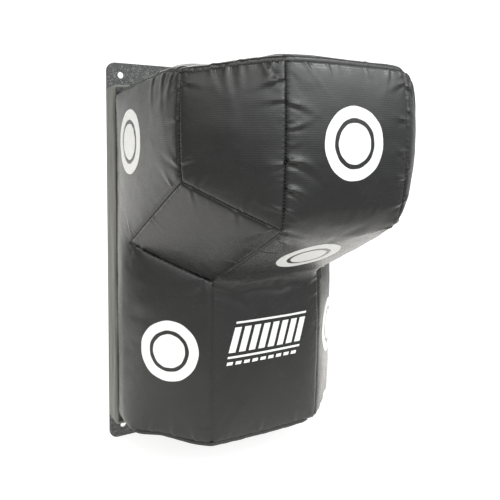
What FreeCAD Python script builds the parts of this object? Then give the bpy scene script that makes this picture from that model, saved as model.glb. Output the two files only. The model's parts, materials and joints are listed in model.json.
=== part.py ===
import FreeCAD, Part
import math
import os
from FreeCAD import Matrix, Placement, Vector

os.makedirs("parts", exist_ok=True)

# Wall-mounted uppercut bag: steel plate, wrapped timber box, and a foam pad in a zipped cover.
# Millimetres. +Z is up, the wall is the plane y = 0 and the bag reaches out towards -Y.
# The origin is at the centre of the plate's rear face; left is -X.
# Constants ending in _Y, _REAR or _FRONT are distances out from the wall, so they sit at -y.

# ---- mounting plate ----
PLATE_W, PLATE_H, PLATE_T = 490.0, 800.0, 4.0
PLATE_CORNER_R = 18.0
WALL_HOLE_R = 6.5
WALL_HOLES = [(sx * 215.0, sz * 375.0) for sx in (-1, 1) for sz in (-1, 1)]

# ---- backing box: timber frame, plywood panel, vinyl wrap ----
BOX_X, BOX_Z = 245.0, 350.0  # half width and half height over the wrap
BOX_CORNER_R = 6.0
WRAP_T = 1.0
TIMBER_T = 32.0
PANEL_T = 12.0
TIMBER_W = 60.0
FIT = 0.2
FLANGE_W = 40.0
TIMBER_REAR = PLATE_T + WRAP_T
TIMBER_FRONT = TIMBER_REAR + TIMBER_T
PANEL_FRONT = TIMBER_FRONT + PANEL_T
FRAME_X = BOX_X - WRAP_T - FIT
FRAME_Z = BOX_Z - WRAP_T - FIT
INNER_CORNER_R = BOX_CORNER_R - WRAP_T

# ---- pad outline, on the outer face of the cover ----
PAD_REAR = PANEL_FRONT + WRAP_T
SIDE_X = 243.0
UP_SIDE_Y, UP_FRONT_Y = 373.0, 481.0
UP_FRONT_X = 119.0
UP_SIDE_Z, UP_FRONT_Z = 175.0, 100.0
LOW_SIDE_Y, LOW_FRONT_Y = 130.0, 248.0
LOW_FRONT_X = 122.0
LOW_SIDE_Z = 43.0
TOP_REAR_Z, TOP_FRONT_Z = 336.0, 364.0
BOT_REAR_Z, BOT_FRONT_Z = -327.0, -340.0
COVER_T = 1.5
STRIKE_T = 25.0
GAP = 0.2
FOAM_REAR = 66.0

# ---- pad board and its fixings ----
BOARD_T = 12.0
BOARD_REAR = PAD_REAR + COVER_T + GAP
BOARD_FRONT = BOARD_REAR + BOARD_T
BOARD_X, BOARD_TOP, BOARD_BOT = 236.0, 326.0, -318.0
BOARD_CORNER_R = 20.0
BOLT_R, BOLT_L = 4.0, 30.0
BOLT_AF, BOLT_HEAD = 13.0, 5.3
BOLT_HOLE_R = 4.5
WASHER_R, WASHER_T = 12.0, 1.6
BOLT_HEAD_Y = TIMBER_FRONT - WASHER_T

# ---- screws: radii, then lengths; the recess is the driver socket ----
PLATE_SCREW = dict(head_r=6.1, shank_r=3.0, tip_r=0.6, recess_r=1.6,
                   head_l=3.1, shank_l=26.0, tip_l=5.0, recess_l=1.6)
PANEL_SCREW = dict(head_r=4.0, shank_r=2.0, tip_r=0.4, recess_r=1.2,
                   head_l=2.2, shank_l=27.7, tip_l=4.0, recess_l=1.4)
SCREW_SUNK = 0.1
PLATE_SCREW_HOLE_R = 3.2
PANEL_SCREW_HOLE_R = 2.1
PILOT_FIT = 0.03

# ---- fixing positions (x, z); staples are (x, z, whether the crown lies along x) ----
SCREW_X, SCREW_Z = 214.0, 319.0
PLATE_SCREWS = [(sx * SCREW_X, sz * z) for sx in (-1, 1) for z in (320.0, 107.0) for sz in (-1, 1)]
PLATE_SCREWS += [(0.0, SCREW_Z), (0.0, -SCREW_Z)]
PANEL_SCREWS = [(sx * SCREW_X, z) for sx in (-1, 1) for z in (260.0, 20.0, -200.0)]
PANEL_SCREWS += [(sx * 90.0, sz * SCREW_Z) for sx in (-1, 1) for sz in (-1, 1)]
PANEL_SCREWS += [(-90.0, 0.0), (90.0, 0.0)]
BOLTS = [(sx * 130.0, z) for sx in (-1, 1) for z in (240.0, 70.0, -240.0)]
STAPLES = [(sx * 225.0, z, False) for sx in (-1, 1) for z in range(-300, 301, 75)]
STAPLES += [(x, sz * 330.0, True) for x in range(-150, 151, 75) for sz in (-1, 1)]

# ---- printed targets ----
RING_R, RING_INNER_R, SPOT_R = 59.0, 40.2, 32.7
PRINT_T = 0.4
SIDE_TARGET_Y, SIDE_TARGET_Z = 168.0, 237.0
FRONT_TARGET_Z = 237.0
SHELF_TARGET = 0.45  # fraction of the way down the sloping front
LOW_TARGET_Z = -158.0

# ---- bottom zip: x along the bag, v towards the front, w out of the bottom face ----
ZIP_Y = 100.0
ZIP_HALF, CHAIN_HALF = 212.0, 204.0
ZIP_SLOT = 6.0
TAPE_W = (-2.4, -1.7)
TAPE_V = 3.2  # inner edge of each tape, outer edge of the chain
TEETH = 68
SLIDER_X = -190.0
PIVOT_W = 2.8


# ---- helpers ----
def save(name, shape):
    shape.exportStep("parts/" + name + ".step")


def save_group(name, shapes):
    save(name, Part.makeCompound(shapes))


def mirror(shape):
    return shape.mirror(Vector(0, 0, 0), Vector(1, 0, 0))


def save_pair(name, left):
    save(name + "_left", left)
    save(name + "_right", mirror(left))


def box(x0, x1, y0, y1, z0, z1):
    return Part.makeBox(x1 - x0, y1 - y0, z1 - z0, Vector(x0, y0, z0))


def post(x, z, half_x, half_z, y0, y1):
    return box(x - half_x, x + half_x, y0, y1, z - half_z, z + half_z)


def rod(radius, x, y, z, run):
    """Cylinder along y; the sign of run gives its direction."""
    return Part.makeCylinder(radius, abs(run), Vector(x, y, z), Vector(0, math.copysign(1, run), 0))


def cone(r1, r2, x, y, z, run):
    return Part.makeCone(r1, r2, abs(run), Vector(x, y, z), Vector(0, math.copysign(1, run), 0))


def drill(shape, places, radius, y, run):
    for x, z in places:
        shape = shape.cut(rod(radius, x, y, z, run))
    return shape


def span(sign, near, far):
    return sorted((sign * near, sign * far))


def polygon(points):
    return Part.Face(Part.makePolygon(points + [points[0]]))


def round_edges(block, axis, radius):
    """Fillet the edges of a block that run along one axis."""
    def ends(edge):
        return [getattr(v.Point, axis) for v in edge.Vertexes[:2]]
    edges = [e for e in block.Edges if abs(ends(e)[0] - ends(e)[1]) > 1e-6]
    return block.makeFillet(radius, edges)


def rounded_slab(half_x, half_z, radius, rear, front):
    return round_edges(box(-half_x, half_x, -front, -rear, -half_z, half_z), "y", radius)


def join(shapes):
    joined = shapes[0]
    for shape in shapes[1:]:
        joined = joined.fuse(shape)
    return joined.removeSplitter()


# ---- pad geometry ----
def top_z(y):
    return TOP_REAR_Z + (TOP_FRONT_Z - TOP_REAR_Z) * (y - PAD_REAR) / (UP_FRONT_Y - PAD_REAR)


def bottom_z(y):
    return BOT_REAR_Z + (BOT_FRONT_Z - BOT_REAR_Z) * (y - PAD_REAR) / (LOW_FRONT_Y - PAD_REAR)


def left_corners():
    up_side = Vector(-SIDE_X, -UP_SIDE_Y, UP_SIDE_Z)
    up_front = Vector(-UP_FRONT_X, -UP_FRONT_Y, UP_FRONT_Z)
    low_side = Vector(-SIDE_X, -LOW_SIDE_Y, LOW_SIDE_Z)
    # the shelf is flat, so its lower front corner lies in the plane of the other three
    n = (up_front - up_side).cross(low_side - up_side)
    drop = (n.x * (SIDE_X - LOW_FRONT_X) + n.y * (UP_SIDE_Y - LOW_FRONT_Y)) / n.z
    return {
        "top_rear": Vector(-SIDE_X, -PAD_REAR, TOP_REAR_Z),
        "top_side": Vector(-SIDE_X, -UP_SIDE_Y, top_z(UP_SIDE_Y)),
        "top_front": Vector(-UP_FRONT_X, -UP_FRONT_Y, TOP_FRONT_Z),
        "up_side": up_side,
        "up_front": up_front,
        "low_side": low_side,
        "low_front": Vector(-LOW_FRONT_X, -LOW_FRONT_Y, UP_SIDE_Z - drop),
        "bot_front": Vector(-LOW_FRONT_X, -LOW_FRONT_Y, BOT_FRONT_Z),
        "bot_side": Vector(-SIDE_X, -LOW_SIDE_Y, bottom_z(LOW_SIDE_Y)),
        "bot_rear": Vector(-SIDE_X, -PAD_REAR, BOT_REAR_Z),
    }


LEFT = left_corners()
RIGHT = {name: Vector(-p.x, p.y, p.z) for name, p in LEFT.items()}


def face(*corners):
    """Corner points from names; a leading + picks the right-hand corner."""
    return [RIGHT[c[1:]] if c[0] == "+" else LEFT[c] for c in corners]


# The last four are left-hand faces, mirrored for the right.
FACES = {
    "rear": face("top_rear", "+top_rear", "+bot_rear", "bot_rear"),
    "top": face("top_rear", "top_side", "top_front", "+top_front", "+top_side", "+top_rear"),
    "bottom": face("bot_rear", "+bot_rear", "+bot_side", "+bot_front", "bot_front", "bot_side"),
    "up_front": face("top_front", "up_front", "+up_front", "+top_front"),
    "shelf_front": face("up_front", "low_front", "+low_front", "+up_front"),
    "low_front": face("low_front", "bot_front", "+bot_front", "+low_front"),
    "up_chamfer": face("top_side", "up_side", "up_front", "top_front"),
    "shelf": face("up_side", "low_side", "low_front", "up_front"),
    "low_chamfer": face("low_side", "bot_side", "bot_front", "low_front"),
    "side": face("top_rear", "bot_rear", "bot_side", "low_side", "up_side", "top_side"),
}
VIEWPOINT = Vector(0.0, -150.0, 100.0)  # inside the pad, in sight of every face


def outward_plane(a, b, c):
    normal = (b - a).cross(c - a)
    normal.normalize()
    if normal.dot(VIEWPOINT - a) > 0:
        normal = normal * -1.0
    return normal, a


PLANES = {name: outward_plane(*points[:3]) for name, points in FACES.items()}


def flip(plane):
    normal, point = plane
    return Vector(-normal.x, normal.y, normal.z), Vector(-point.x, point.y, point.z)


def half_space(plane, inset, size=1500.0):
    """Large block behind a plane that is moved in by inset."""
    normal, point = plane
    centre = point - normal * inset
    across = normal.cross(Vector(0, 0, 1))
    if across.Length < 0.1:
        across = normal.cross(Vector(1, 0, 0))
    across.normalize()
    along = normal.cross(across)
    signs = ((-1, -1), (1, -1), (1, 1), (-1, 1))
    square = [centre + across * (i * size) + along * (j * size) for i, j in signs]
    return polygon(square).extrude(normal * (-2.0 * size))


def bounded(planes):
    solid = box(-400, 400, -700, 100, -500, 500)
    for plane, inset in planes:
        solid = solid.common(half_space(plane, inset))
    return solid


def pad(inset, rear, top=None, bottom=None):
    """The pad's body with its faces moved in by inset, or out when it is negative."""
    top = inset if top is None else top
    bottom = inset if bottom is None else bottom
    back = ((Vector(0, 1, 0), Vector(0, -rear, 0)), 0.0)
    upper = [back, (PLANES["top"], top)]
    upper += [(PLANES[name], inset) for name in ("up_front", "shelf_front")]
    lower = [back, (PLANES["bottom"], bottom), (PLANES["low_front"], inset)]
    for planes, names in ((upper, ("side", "up_chamfer", "shelf")),
                          (lower, ("side", "low_chamfer"))):
        for name in names:
            planes += [(PLANES[name], inset), (flip(PLANES[name]), inset)]
    # the lower body stops inside the upper one
    lower.append(((Vector(0, 0, 1), Vector(0, 0, 250.0)), 0.0))
    return bounded(upper).fuse(bounded(lower)).removeSplitter()


def wedge(points):
    """The space seen through a face from the viewpoint, carried on past the face."""
    far = [VIEWPOINT + (p - VIEWPOINT) * 1.3 for p in points]
    faces = [polygon(far)]
    for i in range(len(far)):
        faces.append(polygon([VIEWPOINT, far[i], far[(i + 1) % len(far)]]))
    solid = Part.makeSolid(Part.makeShell(faces))
    if solid.Volume < 0:
        solid.reverse()
    return solid


def tall(points):
    """A face's corners with its top and bottom ends carried on far past the pad."""
    def stretch(z):
        return math.copysign(2000.0, z) if abs(z) > 300 else z
    return [Vector(p.x, p.y, stretch(p.z)) for p in points]


# ---- plate and screws ----
def mounting_plate():
    plate = rounded_slab(PLATE_W / 2, PLATE_H / 2, PLATE_CORNER_R, 0.0, PLATE_T)
    plate = drill(plate, WALL_HOLES, WALL_HOLE_R, 1, -8)
    for x, z in PLATE_SCREWS:
        plate = plate.cut(rod(PLATE_SCREW_HOLE_R, x, 1, z, -8))
        plate = plate.cut(cone(6.3, PLATE_SCREW_HOLE_R, x, 0, z, -3.1))
    return plate


def screw(x, y, z, way, head_r, shank_r, tip_r, recess_r, head_l, shank_l, tip_l, recess_l):
    """Countersunk screw with its head face at y, pointing along way (+1 or -1 in y)."""
    shank_y = y + way * head_l
    body = cone(head_r, shank_r, x, y, z, way * head_l)
    body = body.fuse(rod(shank_r, x, shank_y, z, way * shank_l))
    body = body.fuse(cone(shank_r, tip_r, x, shank_y + way * shank_l, z, way * tip_l))
    overrun = 0.6
    recess = rod(recess_r, x, y - way * overrun, z, way * (overrun + recess_l))
    return body.cut(recess).removeSplitter()


def plate_screws():
    """Driven from behind into the timber."""
    return [screw(x, -SCREW_SUNK, z, -1, **PLATE_SCREW) for x, z in PLATE_SCREWS]


def panel_screws():
    """Driven from the front into the timber."""
    return [screw(x, -PANEL_FRONT + SCREW_SUNK, z, 1, **PANEL_SCREW) for x, z in PANEL_SCREWS]


save("mounting_plate", mounting_plate())
save_group("plate_screws", plate_screws())
save_group("frame_panel_screws", panel_screws())

# ---- staples holding the wrap ----
CROWN_HALF = 5.5
STAPLE_HALF_W = 0.6
LEG_OFFSET = 5.1
LEG_HALF = 0.4
LEG_FIT = 0.05


def staple_block(staple, offset, half_long, half_wide, y0, y1):
    x, z, along_x = staple
    if along_x:
        return post(x + offset, z, half_long, half_wide, y0, y1)
    return post(x, z + offset, half_wide, half_long, y0, y1)


def staple_body(staple):
    blocks = [staple_block(staple, 0, CROWN_HALF, STAPLE_HALF_W, -4.8, -4.15)]
    for offset in (-LEG_OFFSET, LEG_OFFSET):
        blocks.append(staple_block(staple, offset, LEG_HALF, STAPLE_HALF_W, -13.0, -4.8))
    return join(blocks)


def timber_holes():
    plate_pilot = PLATE_SCREW["shank_r"] + PILOT_FIT
    panel_pilot = PANEL_SCREW["shank_r"] + PILOT_FIT
    holes = [rod(plate_pilot, x, -TIMBER_REAR + 1, z, -32.0) for x, z in PLATE_SCREWS]
    holes += [rod(panel_pilot, x, -12.0, z, -40.0) for x, z in PANEL_SCREWS]
    for staple in STAPLES:
        for offset in (-LEG_OFFSET, LEG_OFFSET):
            holes.append(staple_block(staple, offset, LEG_HALF + LEG_FIT,
                                      STAPLE_HALF_W + LEG_FIT, -13.1, -4.0))
    return Part.makeCompound(holes)


save_group("wrap_staples", [staple_body(staple) for staple in STAPLES])

# ---- timber frame, panel and wrap ----
HOLES = timber_holes()
CORE = rounded_slab(FRAME_X, FRAME_Z, INNER_CORNER_R, TIMBER_REAR, PANEL_FRONT)


def stile(sx):
    x0, x1 = span(sx, FRAME_X, FRAME_X - TIMBER_W)
    blank = box(x0, x1, -TIMBER_FRONT, -TIMBER_REAR, -FRAME_Z, FRAME_Z)
    return blank.common(CORE).cut(HOLES)


def rail(z0):
    half_x = FRAME_X - TIMBER_W - FIT
    return box(-half_x, half_x, -TIMBER_FRONT, -TIMBER_REAR, z0, z0 + TIMBER_W).cut(HOLES)


def frame_panel():
    panel = box(-FRAME_X, FRAME_X, -PANEL_FRONT, -TIMBER_FRONT, -FRAME_Z, FRAME_Z).common(CORE)
    panel = drill(panel, BOLTS, BOLT_HOLE_R, -30, -30)
    for x, z in PANEL_SCREWS:
        panel = panel.cut(rod(PANEL_SCREW_HOLE_R, x, -30, z, -30))
        panel = panel.cut(cone(4.2, PANEL_SCREW_HOLE_R, x, -PANEL_FRONT, z, 2.4))
    return panel


def frame_wrap():
    """Vinyl over the front and edges, with a stapled flange behind."""
    wrap = rounded_slab(BOX_X, BOX_Z, BOX_CORNER_R, PLATE_T, PAD_REAR)
    wrap = wrap.cut(rounded_slab(BOX_X - WRAP_T, BOX_Z - WRAP_T, INNER_CORNER_R,
                                 TIMBER_REAR, PANEL_FRONT))
    wrap = wrap.cut(rounded_slab(BOX_X - FLANGE_W, BOX_Z - FLANGE_W, 20.0,
                                 PLATE_T - 1.0, TIMBER_REAR + 1.0))
    wrap = drill(wrap, BOLTS, BOLT_HOLE_R, -45, -10)
    cuts = [rod(PLATE_SCREW_HOLE_R, x, -2, z, -5) for x, z in PLATE_SCREWS]
    cuts += [staple_block(staple, 0, CROWN_HALF + 0.2, STAPLE_HALF_W + 0.2, -5.5, -3.5)
             for staple in STAPLES]
    return wrap.cut(Part.makeCompound(cuts))


save("frame_stile_left", stile(-1))
save("frame_stile_right", stile(1))
for place_name, rail_z in (("top", FRAME_Z - TIMBER_W), ("middle", -TIMBER_W / 2),
                           ("bottom", -FRAME_Z)):
    save("frame_rail_" + place_name, rail(rail_z))
save("frame_panel", frame_panel())
save("frame_wrap", frame_wrap())

# ---- pad board, tee nuts, bolts and washers ----
BARREL_R = 5.0
PRONG_HALF, PRONG_L = 0.6, 6.0
NUT_FIT = 0.05


def prong_places(x, z):
    angles = [math.pi / 4 + k * math.pi / 2 for k in range(4)]
    return [(x + 7.8 * math.cos(angle), z + 7.8 * math.sin(angle)) for angle in angles]


def pad_board():
    board = box(-BOARD_X, BOARD_X, -BOARD_FRONT, -BOARD_REAR, BOARD_BOT, BOARD_TOP)
    board = round_edges(board, "y", BOARD_CORNER_R)
    half = PRONG_HALF + NUT_FIT
    for x, z in BOLTS:
        board = board.cut(rod(BARREL_R + NUT_FIT, x, -45, z, -30))
        for px, pz in prong_places(x, z):
            board = board.cut(post(px, pz, half, half, -BOARD_FRONT - 1,
                                   -BOARD_FRONT + PRONG_L + 0.1))
    return board


def tee_nut(x, z):
    nut = rod(10.0, x, -BOARD_FRONT, z, -1.2).fuse(rod(BARREL_R, x, -BOARD_FRONT, z, 9.0))
    nut = nut.cut(rod(BOLT_R + NUT_FIT, x, -40, z, -40))
    for px, pz in prong_places(x, z):
        nut = nut.fuse(post(px, pz, PRONG_HALF, PRONG_HALF, -BOARD_FRONT, -BOARD_FRONT + PRONG_L))
    return nut.removeSplitter()


def pad_bolt(x, z):
    """Hexagon bolt; a cone trims the rear corners of its head."""
    radius = BOLT_AF / math.sqrt(3.0)
    angles = [math.radians(60 * i) for i in range(6)]
    head = polygon([Vector(x + radius * math.cos(a), -BOLT_HEAD_Y, z + radius * math.sin(a))
                    for a in angles]).extrude(Vector(0, BOLT_HEAD, 0))
    head = head.common(cone(BOLT_AF / 2 + 4.6, BOLT_AF / 2 - 0.4, x, -BOLT_HEAD_Y, z, BOLT_HEAD))
    return head.fuse(rod(BOLT_R, x, -BOLT_HEAD_Y, z, -BOLT_L)).removeSplitter()


def washer(x, z):
    disc = rod(WASHER_R, x, -BOLT_HEAD_Y, z, -WASHER_T)
    return disc.cut(rod(BOLT_R + 0.2, x, -BOLT_HEAD_Y + 1, z, -5))


save("pad_board", pad_board())
for part_name, make in (("tee_nuts", tee_nut), ("pad_bolts", pad_bolt), ("pad_washers", washer)):
    save_group(part_name, [make(x, z) for x, z in BOLTS])

# ---- zip frame on the sloping bottom face ----
SLOPE = math.atan2(BOT_REAR_Z - BOT_FRONT_Z, LOW_FRONT_Y - PAD_REAR)
COS, SIN = math.cos(SLOPE), math.sin(SLOPE)
ZIP = Placement(Matrix(1, 0, 0, 0,
                       0, -COS, SIN, -ZIP_Y,
                       0, -SIN, -COS, bottom_z(ZIP_Y),
                       0, 0, 0, 1))


def on_zip(shape):
    placed = shape.copy()
    placed.Placement = ZIP.multiply(placed.Placement)
    return placed


# ---- foam core and strike layers ----
def save_foam_core():
    ends = COVER_T + GAP
    foam = pad(COVER_T + STRIKE_T + 2 * GAP, FOAM_REAR, ends, ends)
    foam = foam.cut(on_zip(box(-214.0, 214.0, -17.0, 17.0, -7.5, 30.0)))  # room for the zip
    split = LEFT["low_front"].z
    save("foam_core_upper", foam.common(box(-400, 400, -700, 0, split + GAP / 2, 500)))
    save("foam_core_lower", foam.common(box(-400, 400, -700, 0, -500, split - GAP / 2)))


def save_strike_layers():
    outer = COVER_T + GAP
    # the cutter overruns the sheet at the rear, top and bottom
    sheet = pad(outer, FOAM_REAR).cut(pad(outer + STRIKE_T, FOAM_REAR - 10.0, -40.0, -40.0))
    for level, prefix in (("upper", "up"), ("lower", "low")):
        chamfer = sheet.common(wedge(tall(FACES[prefix + "_chamfer"])))
        front = sheet.common(wedge(tall(FACES[prefix + "_front"])))
        save("strike_layer_" + level, join([chamfer, front, mirror(chamfer)]))
    save("strike_layer_shelf_front", sheet.common(wedge(FACES["shelf_front"])))
    save_pair("strike_layer_side", sheet.common(wedge(tall(FACES["side"]))))
    save_pair("strike_layer_shelf", sheet.common(wedge(FACES["shelf"])))


# ---- cover ----
def save_cover():
    skin = pad(0.0, PAD_REAR).cut(pad(COVER_T, PAD_REAR + COVER_T))
    cover = {name: skin.common(wedge(points)) for name, points in FACES.items()}
    save("cover_rear", drill(cover["rear"], BOLTS, BOLT_HOLE_R, -45, -10))
    save("cover_top", cover["top"])
    slot = on_zip(box(-ZIP_HALF, ZIP_HALF, -ZIP_SLOT, ZIP_SLOT, -10.0, 10.0))
    save("cover_bottom", cover["bottom"].cut(slot))
    band = [cover[name] for name in ("up_front", "shelf_front", "low_front")]
    save("cover_center_band", join(band))
    save_pair("cover_upper_chamfer", cover["up_chamfer"])
    save_pair("cover_side", join([cover["side"], cover["low_chamfer"]]))
    save_pair("cover_shelf", cover["shelf"])


def bottom_seam_binding():
    """Strip just above the bottom edge, round the left chamfer and most of the front."""
    thick, height = 1.8, 5.0
    strip = pad(-thick, PAD_REAR, -thick, 0.0).cut(pad(0.0, PAD_REAR, 0.0, -5.0))
    strip = strip.common(box(-300, LOW_FRONT_X - 17.0, -LOW_FRONT_Y - 10, -LOW_SIDE_Y - 1.0,
                             -400, -300))
    return strip.cut(half_space(PLANES["bottom"], height))


save_foam_core()
save_strike_layers()
save_cover()
save("bottom_seam_binding", bottom_seam_binding())


# ---- targets: a ring and a spot on a face ----
def target(centre, face_name):
    normal = PLANES[face_name][0]

    def disc(radius):
        return Part.makeCylinder(radius, PRINT_T, centre, normal)
    return Part.makeCompound([disc(RING_R).cut(disc(RING_INNER_R)), disc(SPOT_R)])


def save_targets():
    side = Vector(-SIDE_X, -SIDE_TARGET_Y, SIDE_TARGET_Z)
    save_pair("target_side", target(side, "side"))
    low = (LEFT["low_side"] + LEFT["low_front"]) * 0.5
    save_pair("target_lower", target(Vector(low.x, low.y, LOW_TARGET_Z), "low_chamfer"))
    save("target_upper_front", target(Vector(0, -UP_FRONT_Y, FRONT_TARGET_Z), "up_front"))
    shelf = LEFT["up_front"] + (LEFT["low_front"] - LEFT["up_front"]) * SHELF_TARGET
    save("target_shelf", target(Vector(0, shelf.y, shelf.z), "shelf_front"))


# ---- front print: slanted stripes between two thin lines, with a dashed line below ----
def bar(x, width, z0, z1, slant):
    corners = ((x, z0), (x + width, z0), (x + width + slant, z1), (x + slant, z1))
    outline = [Vector(cx, -LOW_FRONT_Y, cz) for cx, cz in corners]
    return polygon(outline).extrude(Vector(0, -PRINT_T, 0))


def front_print():
    stripes = [bar(-92.0 + 21.2 * i, 14.0, -160.0, -112.0, 14.0) for i in range(8)]
    lines = [bar(-76.0, 162.0, -105.0, -101.0, 1.2), bar(-94.0, 163.0, -171.0, -167.0, 1.2)]
    dashes = [bar(-96.0 + 18.0 * i, 12.0, -184.0, -178.0, 1.8) for i in range(9)]
    return stripes + lines + dashes


save_targets()
save_group("front_print", front_print())


# ---- zip ----
def zip_tape(sign):
    return box(-ZIP_HALF, ZIP_HALF, *span(sign, TAPE_V, 15.5), *TAPE_W)


def zip_teeth(sign):
    """One row of teeth on its rail; the two rows are staggered along x."""
    v0, v1 = span(sign, 0.6, TAPE_V)
    row = box(-CHAIN_HALF, CHAIN_HALF, v0, v1, -2.6, -1.5)
    pitch = (2 * CHAIN_HALF - 6.0) / (TEETH - 1)
    middles = [-CHAIN_HALF + 3.0 + i * pitch + sign for i in range(TEETH)]
    bumps = [box(x - 1.2, x + 1.2, v0, v1, -3.0, -1.1) for x in middles]
    return row.fuse(bumps).removeSplitter()


def zip_stop(x):
    stop = box(x - 1.5, x + 1.5, -3.6, 3.6, -3.3, -0.8)
    for sign in (-1, 1):
        stop = stop.cut(box(-300, 300, *span(sign, TAPE_V, 9), *TAPE_W))
    return stop


def zip_slider():
    def plate(w0, w1):
        return round_edges(box(SLIDER_X - 6.5, SLIDER_X + 6.5, -4.6, 4.6, w0, w1), "z", 2.2)
    slider = plate(-0.7, 0.6)
    slider = slider.fuse(plate(-4.7, -3.4))
    # post between the two plates
    slider = slider.fuse(box(SLIDER_X - 5.5, SLIDER_X - 2.5, -0.42, 0.42, -3.5, -0.6))
    for sign in (-1, 1):
        v0, v1 = span(sign, 3.7, 4.6)
        for w0, w1 in ((-1.35, -0.6), (-3.5, -2.75)):  # side flanges
            slider = slider.fuse(box(SLIDER_X - 4.0, SLIDER_X + 4.0, v0, v1, w0, w1))
        v0, v1 = span(sign, 2.2, 3.3)
        ear = box(SLIDER_X - 1.7, SLIDER_X + 1.7, v0, v1, 0.5, PIVOT_W)
        slider = slider.fuse(ear.fuse(rod(1.7, SLIDER_X, v0, PIVOT_W, v1 - v0)))
    return slider.fuse(rod(0.75, SLIDER_X, -2.3, PIVOT_W, 4.6)).removeSplitter()


def zip_pull_tab():
    """Rounded leaf on an eye that turns on the slider's pin."""
    x0, x1 = SLIDER_X - 0.7, SLIDER_X + 0.7
    eye = rod(1.65, SLIDER_X, -1.9, PIVOT_W, 3.8)
    eye = eye.fuse(box(x0, x1, -1.9, 1.9, PIVOT_W, 9.0))
    leaf = round_edges(box(x0, x1, -4.2, 4.2, 8.0, 30.0), "x", 2.0)
    tab = eye.fuse(leaf).cut(rod(0.8, SLIDER_X, -3, PIVOT_W, 6.0))
    end_hole = Part.makeCylinder(1.8, 6.0, Vector(SLIDER_X - 3, 0, 25.5), Vector(1, 0, 0))
    return tab.cut(end_hole).removeSplitter()


STOP_X = CHAIN_HALF + 1.7
save("zip_tape_front", on_zip(zip_tape(1)))
save("zip_tape_rear", on_zip(zip_tape(-1)))
save("zip_chain", on_zip(Part.makeCompound([zip_teeth(-1), zip_teeth(1)])))
save("zip_stops", on_zip(Part.makeCompound([zip_stop(-STOP_X), zip_stop(STOP_X)])))
save("zip_slider", on_zip(zip_slider()))
save("zip_pull_tab", on_zip(zip_pull_tab()))
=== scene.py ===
import json
import math
import random

import bpy
import bmesh
import numpy as np
from mathutils import Matrix, Vector
from mathutils.bvhtree import BVHTree
from mathutils.geometry import delaunay_2d_cdt
from mathutils import noise as mnoise


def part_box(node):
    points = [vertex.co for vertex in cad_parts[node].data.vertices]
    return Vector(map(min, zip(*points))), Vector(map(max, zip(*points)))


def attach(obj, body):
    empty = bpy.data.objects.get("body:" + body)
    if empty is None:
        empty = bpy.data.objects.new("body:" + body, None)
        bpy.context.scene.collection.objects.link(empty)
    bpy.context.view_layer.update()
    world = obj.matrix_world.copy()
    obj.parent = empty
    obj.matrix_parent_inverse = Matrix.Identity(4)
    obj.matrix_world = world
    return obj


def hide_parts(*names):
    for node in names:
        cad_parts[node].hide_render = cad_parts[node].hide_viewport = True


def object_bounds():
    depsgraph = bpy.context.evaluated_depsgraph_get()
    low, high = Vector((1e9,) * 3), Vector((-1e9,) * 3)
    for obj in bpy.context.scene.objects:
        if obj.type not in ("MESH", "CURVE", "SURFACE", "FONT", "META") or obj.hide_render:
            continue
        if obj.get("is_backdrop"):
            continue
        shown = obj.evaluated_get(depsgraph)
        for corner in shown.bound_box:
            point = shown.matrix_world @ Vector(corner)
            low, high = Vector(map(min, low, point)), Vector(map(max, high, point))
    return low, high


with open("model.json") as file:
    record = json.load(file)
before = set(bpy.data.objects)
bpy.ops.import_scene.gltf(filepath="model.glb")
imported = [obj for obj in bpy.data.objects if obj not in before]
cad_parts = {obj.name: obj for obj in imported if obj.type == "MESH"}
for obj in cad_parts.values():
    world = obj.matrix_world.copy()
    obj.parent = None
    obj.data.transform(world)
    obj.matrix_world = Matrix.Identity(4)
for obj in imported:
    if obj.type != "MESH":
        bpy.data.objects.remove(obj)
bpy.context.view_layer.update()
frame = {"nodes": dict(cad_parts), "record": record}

RNG = np.random.default_rng(7)
MM = 0.001
scene = bpy.context.scene


# ------------------------------------------------------------------ materials
def new_mat(name):
    m = bpy.data.materials.new(name)
    m.use_nodes = True
    nt = m.node_tree
    nt.nodes.clear()
    out = nt.nodes.new("ShaderNodeOutputMaterial")
    bsdf = nt.nodes.new("ShaderNodeBsdfPrincipled")
    nt.links.new(bsdf.outputs[0], out.inputs[0])
    return m, nt, bsdf


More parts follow.
